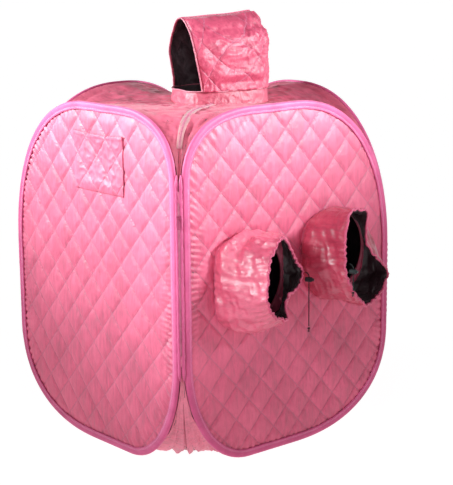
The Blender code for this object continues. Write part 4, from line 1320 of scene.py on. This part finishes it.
# Knots round each cuff's rim: the base's angle in degrees, then metres across and up from the cuff's middle
CUFF_RIMS = {
    "left": ((0, 0.106, 0.0), (27, 0.066, 0.030), (60, 0.024, 0.078), (98, -0.030, 0.126),
             (124, -0.075, 0.102), (148, -0.112, 0.072), (180, -0.130, 0.0), (202, -0.118, -0.045),
             (224, -0.085, -0.080), (247, -0.045, -0.098), (272, 0.003, -0.109), (292, -0.012, -0.070),
             (312, 0.010, -0.048), (336, 0.066, -0.040)),
    "right": ((-30, 0.133, -0.075), (-50, 0.095, -0.115), (-68, 0.05, -0.130), (-90, 0.0, -0.142),
              (-112, -0.045, -0.115), (-136, -0.086, -0.082), (-162, -0.118, -0.03), (-180, -0.129, 0.01),
              (-208, -0.127, 0.07), (-232, -0.102, 0.139), (-250, -0.05, 0.140), (-270, 0.0, 0.125),
              (-286, -0.006, 0.085), (-300, -0.004, 0.047), (-314, 0.018, 0.015), (-335, 0.070, -0.022)),
}
SLEEVE_SEAT = -0.4046
SLEEVE_CLOTH_THIN = 0.0016
BASE_ROUND = {"left": 4.4, "right": 2.9}
CRINKLE = {"left": 0.0024, "right": 0.0018}


def sleeve_loops(side, count):
    """The base's angles and the rim's places round the sleeve, anticlockwise seen from outside."""
    knots = np.array(CUFF_RIMS[side], float)
    if knots[1, 0] < knots[0, 0]:
        knots = knots[::-1]
    angles = np.radians(knots[:, 0])
    t = np.arange(count) / count * len(knots)
    base = np.interp(t, np.arange(len(knots) + 1), np.append(angles, angles[0] + 2 * pi))
    return base, round_spline(knots[:, 1:], count)


def sleeve_swell(side, turn, along):
    """How far the cloth stands out of its straight run between the wall and the rim."""
    seed = 600 if side == "left" else 700
    # wrinkles are drawn on a cylinder, so that they meet where the sleeve closes
    place = pack(np.cos(turn) * 0.12, np.sin(turn) * 0.12, along * 0.11)
    belly = 0.008 * np.sin(pi * along ** 0.8) ** 0.8
    folds = crease(place * (1.0, 1.0, 0.45), 0.080, seed) * 0.0058
    folds = folds + crease(place * (0.55, 0.55, 1.0), 0.034, seed + 1) * CRINKLE[side]
    folds = folds + ripple(place * (1, 1, 0.6), 0.12, seed + 2, 2) * 0.0036
    gathers = 0.0026 * np.sin(turn * 31 + 4 * ripple(place, 0.10, seed + 3, 1))
    gathers = gathers * soft_step(along, 0.62, 0.98)
    seat = 0.0013 * np.sin(turn * 37 + 3 * ripple(place, 0.13, seed + 4, 1))
    seat = seat * (1 - soft_step(along, 0.0, 0.22))
    held = soft_step(along, 0.0, 0.14) * (1 - 0.55 * soft_step(along, 0.9, 1.0))
    lengthwise = turn * 6.5 + 1.9 * ripple(place * (1, 1, 0.5), 0.075, seed + 6, 1)
    folds = folds + ((1 - np.abs(np.sin(lengthwise))) ** 1.6 - 0.3) * 0.0030
    swell = belly + folds * held + gathers + seat
    if side == "left":
        # the cloth folds over itself along the top, next to the wall
        over = 0.016 * bell(along, 0.20, 0.10) - 0.008 * bell(along, 0.40, 0.07)
        swell = swell + bell_round(turn, 118, 0.62) * over
        return swell + bell_round(turn, 250, 0.7) * 0.013 * np.sin(pi * along)
    swell = swell - bell_round(turn, 100, 0.8) * 0.012 * np.sin(pi * along)
    return swell + bell_round(turn, 190, 0.7) * 0.006 * np.sin(2 * pi * along)


def sleeve_surface(side, columns, rows):
    """Rows from the wall to the rim; the cloth between them bellies, folds and gathers."""
    cuff, _, across = cuff_frame(side)
    base_angle, rim = sleeve_loops(side, columns)
    ring = pack(np.cos(base_angle), np.sin(base_angle))
    for _ in range(3):
        ring = (np.roll(ring, 1, 0) + ring * 2 + np.roll(ring, -1, 0)) / 4
    ring = unit(ring)
    angle = np.unwrap(np.arctan2(ring[:, 1], ring[:, 0]))
    # the cloth is cut in a ring but sits squarely on the wall
    power = BASE_ROUND[side]
    square = (np.abs(ring) ** power).sum(-1) ** (-1 / power)
    seat = ring * square[:, None] * SLEEVE_BASE_RADIUS + SLEEVES[side]["base"]
    start = pack(seat[:, 0], SLEEVE_SEAT, seat[:, 1])
    end = cuff + across * rim[:, :1] + np.array([0, 0, 1.0]) * rim[:, 1:]
    turn, along = np.meshgrid(angle, np.linspace(0, 1, rows))
    outward = pack(np.cos(turn), 0.0, np.sin(turn)) * sleeve_swell(side, turn, along)[..., None]
    points = start + (end - start) * along[..., None] + outward
    points[..., 1] = np.minimum(points[..., 1], SLEEVE_SEAT)
    return points


def make_sleeve(side):
    points = sleeve_surface(side, int(190 * FINE), int(52 * FINE))
    made = shell(side + "_arm_sleeve", points, SLEEVE_CLOTH_THIN, [SLEEVE_SATIN[side], LINING], around=True,
                 lengths=(0.78, 0.13))
    loop = evenly(points[-1], 0.0042 / FINE)
    run = np.arange(len(loop)) * np.linalg.norm(loop[1] - loop[0])
    bead = 0.0034 + 0.0010 * np.sin(run * 2 * pi / 0.0105 + 2 * ripple(loop, 0.05, 801, 1))
    bead = bead + 0.0006 * ripple(loop, 0.03, 802, 1)
    hem = tube(side + "_hem", loop + cuff_frame(side)[1] * 0.0012, bead, HEM, 10, closed=True)
    seat = evenly(points[0] - (0, 0.0008, 0), 0.005 / FINE)
    welt = tube(side + "_sleeve_seam", seat, 0.0019, HEM, closed=True)
    fasten(made, side + "_sleeve", "front_wall")
    fasten(hem, side + "_cuff_hem", "front_wall")
    trim(welt, "front_wall")


for side in CORDS:
    make_sleeve(side)


# Entry corner: the closed zip between its two lips

ZIP_FOOT = 0.34
ZIP_TOP = 0.76
LIP_FOOT = 0.268
LIP_TOP = 0.832
TOOTH_PITCH = 0.0021
TOOTH_REACH = 0.0044
TOOTH_HIGH = 0.0017
ENTRY_HINGE = np.array([-AXIS, -AXIS, 0.0])
ENTRY_OUT = np.array([-1.0, -1.0, 0.0]) / sqrt(2)
ENTRY_ACROSS = np.array([1.0, -1.0, 0.0]) / sqrt(2)
UP = np.array([0, 0, 1.0])
BLOCK_CORNERS = np.array([[i, j, k] for k in (-1, 1) for j in (-1, 1) for i in (-1, 1)], float)
BLOCK_FACES = np.array([[0, 2, 3, 1], [4, 5, 7, 6], [0, 1, 5, 4], [2, 6, 7, 3], [0, 4, 6, 2], [1, 3, 7, 5]])


def narrow_with_fold(made):
    """The zip's cloth rides on the entry corner, with a mesh of its own."""
    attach(made, "entry_corner")
    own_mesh(made)


def make_teeth(name, line, across):
    """Two rows of moulded teeth that lock over a line."""
    tangent = unit(np.gradient(line, axis=0))
    lift = unit(np.cross(across, tangent))
    corners = BLOCK_CORNERS * (TOOTH_REACH, TOOTH_PITCH * 0.62, TOOTH_HIGH) / 2
    points, faces = [], []
    for k, (spot, way, up) in enumerate(zip(line, tangent, lift)):
        side = 1 if k % 2 else -1
        points.append(spot + across * side * TOOTH_REACH * 0.22 + corners @ np.array([across, way, up]))
        faces += (BLOCK_FACES + 8 * k).tolist()
    made = put(name, np.concatenate(points), faces, [ZIP_PINK])
    bevel = made.modifiers.new("bevel", "BEVEL")
    bevel.width = 0.00022
    bevel.segments = 1
    return made


def make_entry():
    z = np.linspace(LIP_FOOT, LIP_TOP, int(96 * FINE))
    ends = soft_step(np.minimum(z - LIP_FOOT, LIP_TOP - z), 0.0, 0.022)
    parts = []
    for side, wall in ((-1, "left"), (1, "front")):
        wave = 0.0005 * np.sin(2 * pi * z / 0.021 + side) + 0.0004 * np.sin(2 * pi * z / 0.047)
        line = ENTRY_HINGE + np.outer(0.0088 * (0.35 + 0.65 * ends) + wave, ENTRY_OUT)
        line = line + np.outer(side * (0.0054 + 0.3 * wave), ENTRY_ACROSS) + np.outer(z, UP)
        radius = 0.0050 * (0.45 + 0.55 * ends) + 0.4 * wave
        parts.append(tube(wall + "_zip_lip", line, radius, BINDING, 12))
    run = np.linspace(ZIP_FOOT + 0.002, ZIP_TOP - 0.002, int((ZIP_TOP - ZIP_FOOT) / (TOOTH_PITCH / FINE)))
    line = ENTRY_HINGE + ENTRY_OUT * 0.0138 + np.outer(run, UP)
    teeth = make_teeth("entry_zip_teeth", line, ENTRY_ACROSS)
    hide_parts("entry_zip_chain")
    v, w = np.meshgrid(np.linspace(-1, 1, 7), np.linspace(ZIP_FOOT - 0.03, ZIP_TOP + 0.03, int(60 * FINE)))
    reach = 0.0126 - 0.0075 * np.abs(v) ** 1.6
    points = ENTRY_HINGE + ENTRY_OUT * reach[..., None] + ENTRY_ACROSS * (0.0092 * v)[..., None]
    points = points + UP * w[..., None]
    tape = shell("entry_zip_tape", points, 0.0009, [ZIP_TAPE, ZIP_TAPE], lengths=(0.02, ZIP_TOP - ZIP_FOOT))
    for piece in parts + [teeth, tape]:
        narrow_with_fold(piece)


make_entry()


def make_roof_zip():
    """The zip's run over the roof, from the collar down into the entry corner."""
    first = collar_outline(np.array(atan2(-HALF_PLAN - HOOD_CENTRE[1], -HALF_PLAN - HOOD_CENTRE[0])), 0.003)
    last = np.array([-0.378, -0.378])
    run = last - first
    across = np.array([run[1], -run[0]]) / np.linalg.norm(run)
    columns, rows = 9, int(90 * FINE)
    v, u = np.meshgrid(np.linspace(-1, 1, columns), np.linspace(0, 1, rows))
    centre = first + run * u[..., None]
    wide = 0.0120 - 0.0045 * soft_step(u, 0.8, 1.0)
    spot = centre + across * (wide * v)[..., None]
    lift = 0.0030 + 0.0010 * (1 - v ** 2) + 0.0006 * np.sin(u * 90 + v)
    middle = roof_lie(centre[..., 0], centre[..., 1])
    beside = roof_lie(spot[..., 0], spot[..., 1])
    points = pack(spot[..., 0], spot[..., 1], np.maximum(middle, beside) + lift + 0.0008)
    tape = shell("roof_zip_tape", points, 0.0010, [ROOF_TAPE, ROOF_TAPE], lengths=(0.024, 0.36))
    fasten(tape, "roof_zip", "base")
    line = evenly(points[:, columns // 2] + (0, 0, 0.0008), TOOTH_PITCH / FINE, closed=False)
    teeth = make_teeth("roof_zip_teeth", line, np.append(across, 0))
    trim(teeth, "base")
    fold_with_base(tape)
    fold_with_base(teeth)


make_roof_zip()


# Seams of the other three corners

CORNER_SEAMS = {
    "left_back_seam": (-1, 1, "left_wall"),
    "front_right_seam": (1, -1, "front_wall"),
    "rear_corner_seam": (1, 1, "rear_corner"),
}


def make_corner_seam(name, x, y, body):
    """The rolled tape that two bindings are sewn to."""
    z = np.linspace(0.29, 0.56, int(60 * FINE))
    spread = soft_step(np.minimum(z - 0.29, 0.56 - z), 0, 0.03)
    wave = 0.0004 * np.sin(2 * pi * z / 0.017)
    away = AXIS + 0.0006 + 0.0010 * spread + wave
    radius = 0.0030 * (0.5 + 0.5 * spread) + 0.3 * wave
    made = tube(name + "_tape", pack(x * away, y * away, z), radius, BINDING, 10)
    fasten(made, name, body)


for name, (x, y, body) in CORNER_SEAMS.items():
    make_corner_seam(name, x, y, body)


# Pocket on the left wall


def make_pocket():
    """A patch of the same quilting, sewn down at its sides and foot and gaping a little at its hem."""
    wide, tall = POCKET_SIZE
    a, b = np.meshgrid(np.linspace(-1, 1, int(96 * FINE)), np.linspace(-1, 1, int(72 * FINE)))
    u = POCKET_MIDDLE[0] + a * wide / 2 + 0.004 * b * (1 - np.abs(a))
    z = POCKET_MIDDLE[1] + b * tall / 2 - 0.004 * (1 - a ** 2) * soft_step(b, 0.3, 1.0)
    z = z + 0.002 * np.sin(a * 5 + 1) * (1 - b ** 2)
    edge = np.minimum(1 - np.abs(a), 1 + b)
    proud = 0.0022 + 0.0034 * soft_step(b, 0.2, 1.0) * (1 - a ** 2) + 0.0010 * soft_step(edge, 0.0, 0.10)
    hem = 0.0011 * (soft_step(b, 0.86, 0.88) - 0.3 * soft_step(b, 0.985, 1.0))
    slump = 0.0022 * bell(b, -0.72, 0.16) * (1 - 0.5 * a ** 2)
    wrinkle = 0.0011 * crease(pack(u, z), 0.05, 901) * soft_step(edge, 0.0, 0.2)
    high = panel_surface("left", u, z) * 0.85 + proud + hem + slump + wrinkle + 0.0012
    points = pack(u, z, high)
    at_wall = wall_matrix("left")
    made = shell("pocket_patch", points, 0.0013, [QUILTED["left"], LINING], matrix=at_wall,
                 lengths=POCKET_SIZE)
    cap = tube("pocket_hem", points[-1] - (0, 0, 0.0004), 0.0011, HEM, matrix=at_wall)
    sides = np.concatenate([points[::-1, 0], points[0, 1:-1], points[:, -1]]) - (0, 0, 0.0010)
    seam = tube("pocket_seam", evenly(sides, 0.004, closed=False), 0.0011, HEM, matrix=at_wall)
    fasten(made, "pocket", "left_wall")
    trim(cap, "left_wall")
    trim(seam, "left_wall")


make_pocket()


# Steam inlet low on the back wall


def make_inlet():
    middle_u, middle_z = INLET_PLACE
    columns = int(90 * FINE)
    turn, v = ring_grid(columns, int(34 * FINE))
    place = pack(np.cos(turn) * 0.03, np.sin(turn) * 0.03, v * 0.05)
    gather = np.sin(turn * 19 + 2 * ripple(place, 0.04, 951, 1)) * 0.0014
    elastic = bell(v, 0.82, 0.07)
    radius = INLET_RADIUS + 0.0012 + 0.0016 * np.sin(pi * v) - 0.0042 * elastic
    radius = radius + gather * (0.25 + elastic) + 0.0008 * crease(place, 0.02, 952)
    out = 0.0042 + v * (INLET_LENGTH + 0.002)
    points = pack(middle_u + radius * np.cos(turn), middle_z + radius * np.sin(turn), out)
    at_wall = wall_matrix("back")
    sleeve = shell("steam_sleeve", points, 0.0013, [SLEEVE_SATIN["right"], LINING], around=True,
                   matrix=at_wall, lengths=(0.19, 0.052))
    turn, share = ring_grid(columns, 10)
    reach = INLET_RADIUS + 0.0024 + share * 0.0160 + 0.0006 * np.sin(turn * 7)
    high = 0.0062 + 0.0012 * np.sin(pi * share) + 0.0004 * np.sin(turn * 23) - 0.0018 * share ** 3
    flat = pack(middle_u + reach * np.cos(turn), middle_z + reach * np.sin(turn), high)
    patch = shell("steam_patch", flat[::-1], 0.0016, [PATCH_TAPE, LINING], around=True, matrix=at_wall,
                  lengths=(0.24, 0.016))
    rim = tube("steam_rim", points[-1], 0.0017, HEM, closed=True, matrix=at_wall)
    fasten(sleeve, "steam_inlet_sleeve", "back_wall")
    fasten(patch, "steam_inlet_patch", "back_wall")
    trim(rim, "back_wall")


make_inlet()
dress("zip_slider", LACQUER, 0.0005)
dress("zip_pull_tab", LACQUER, 0.0003)
dress("zip_pull_pin", CHROME, 0.0001)
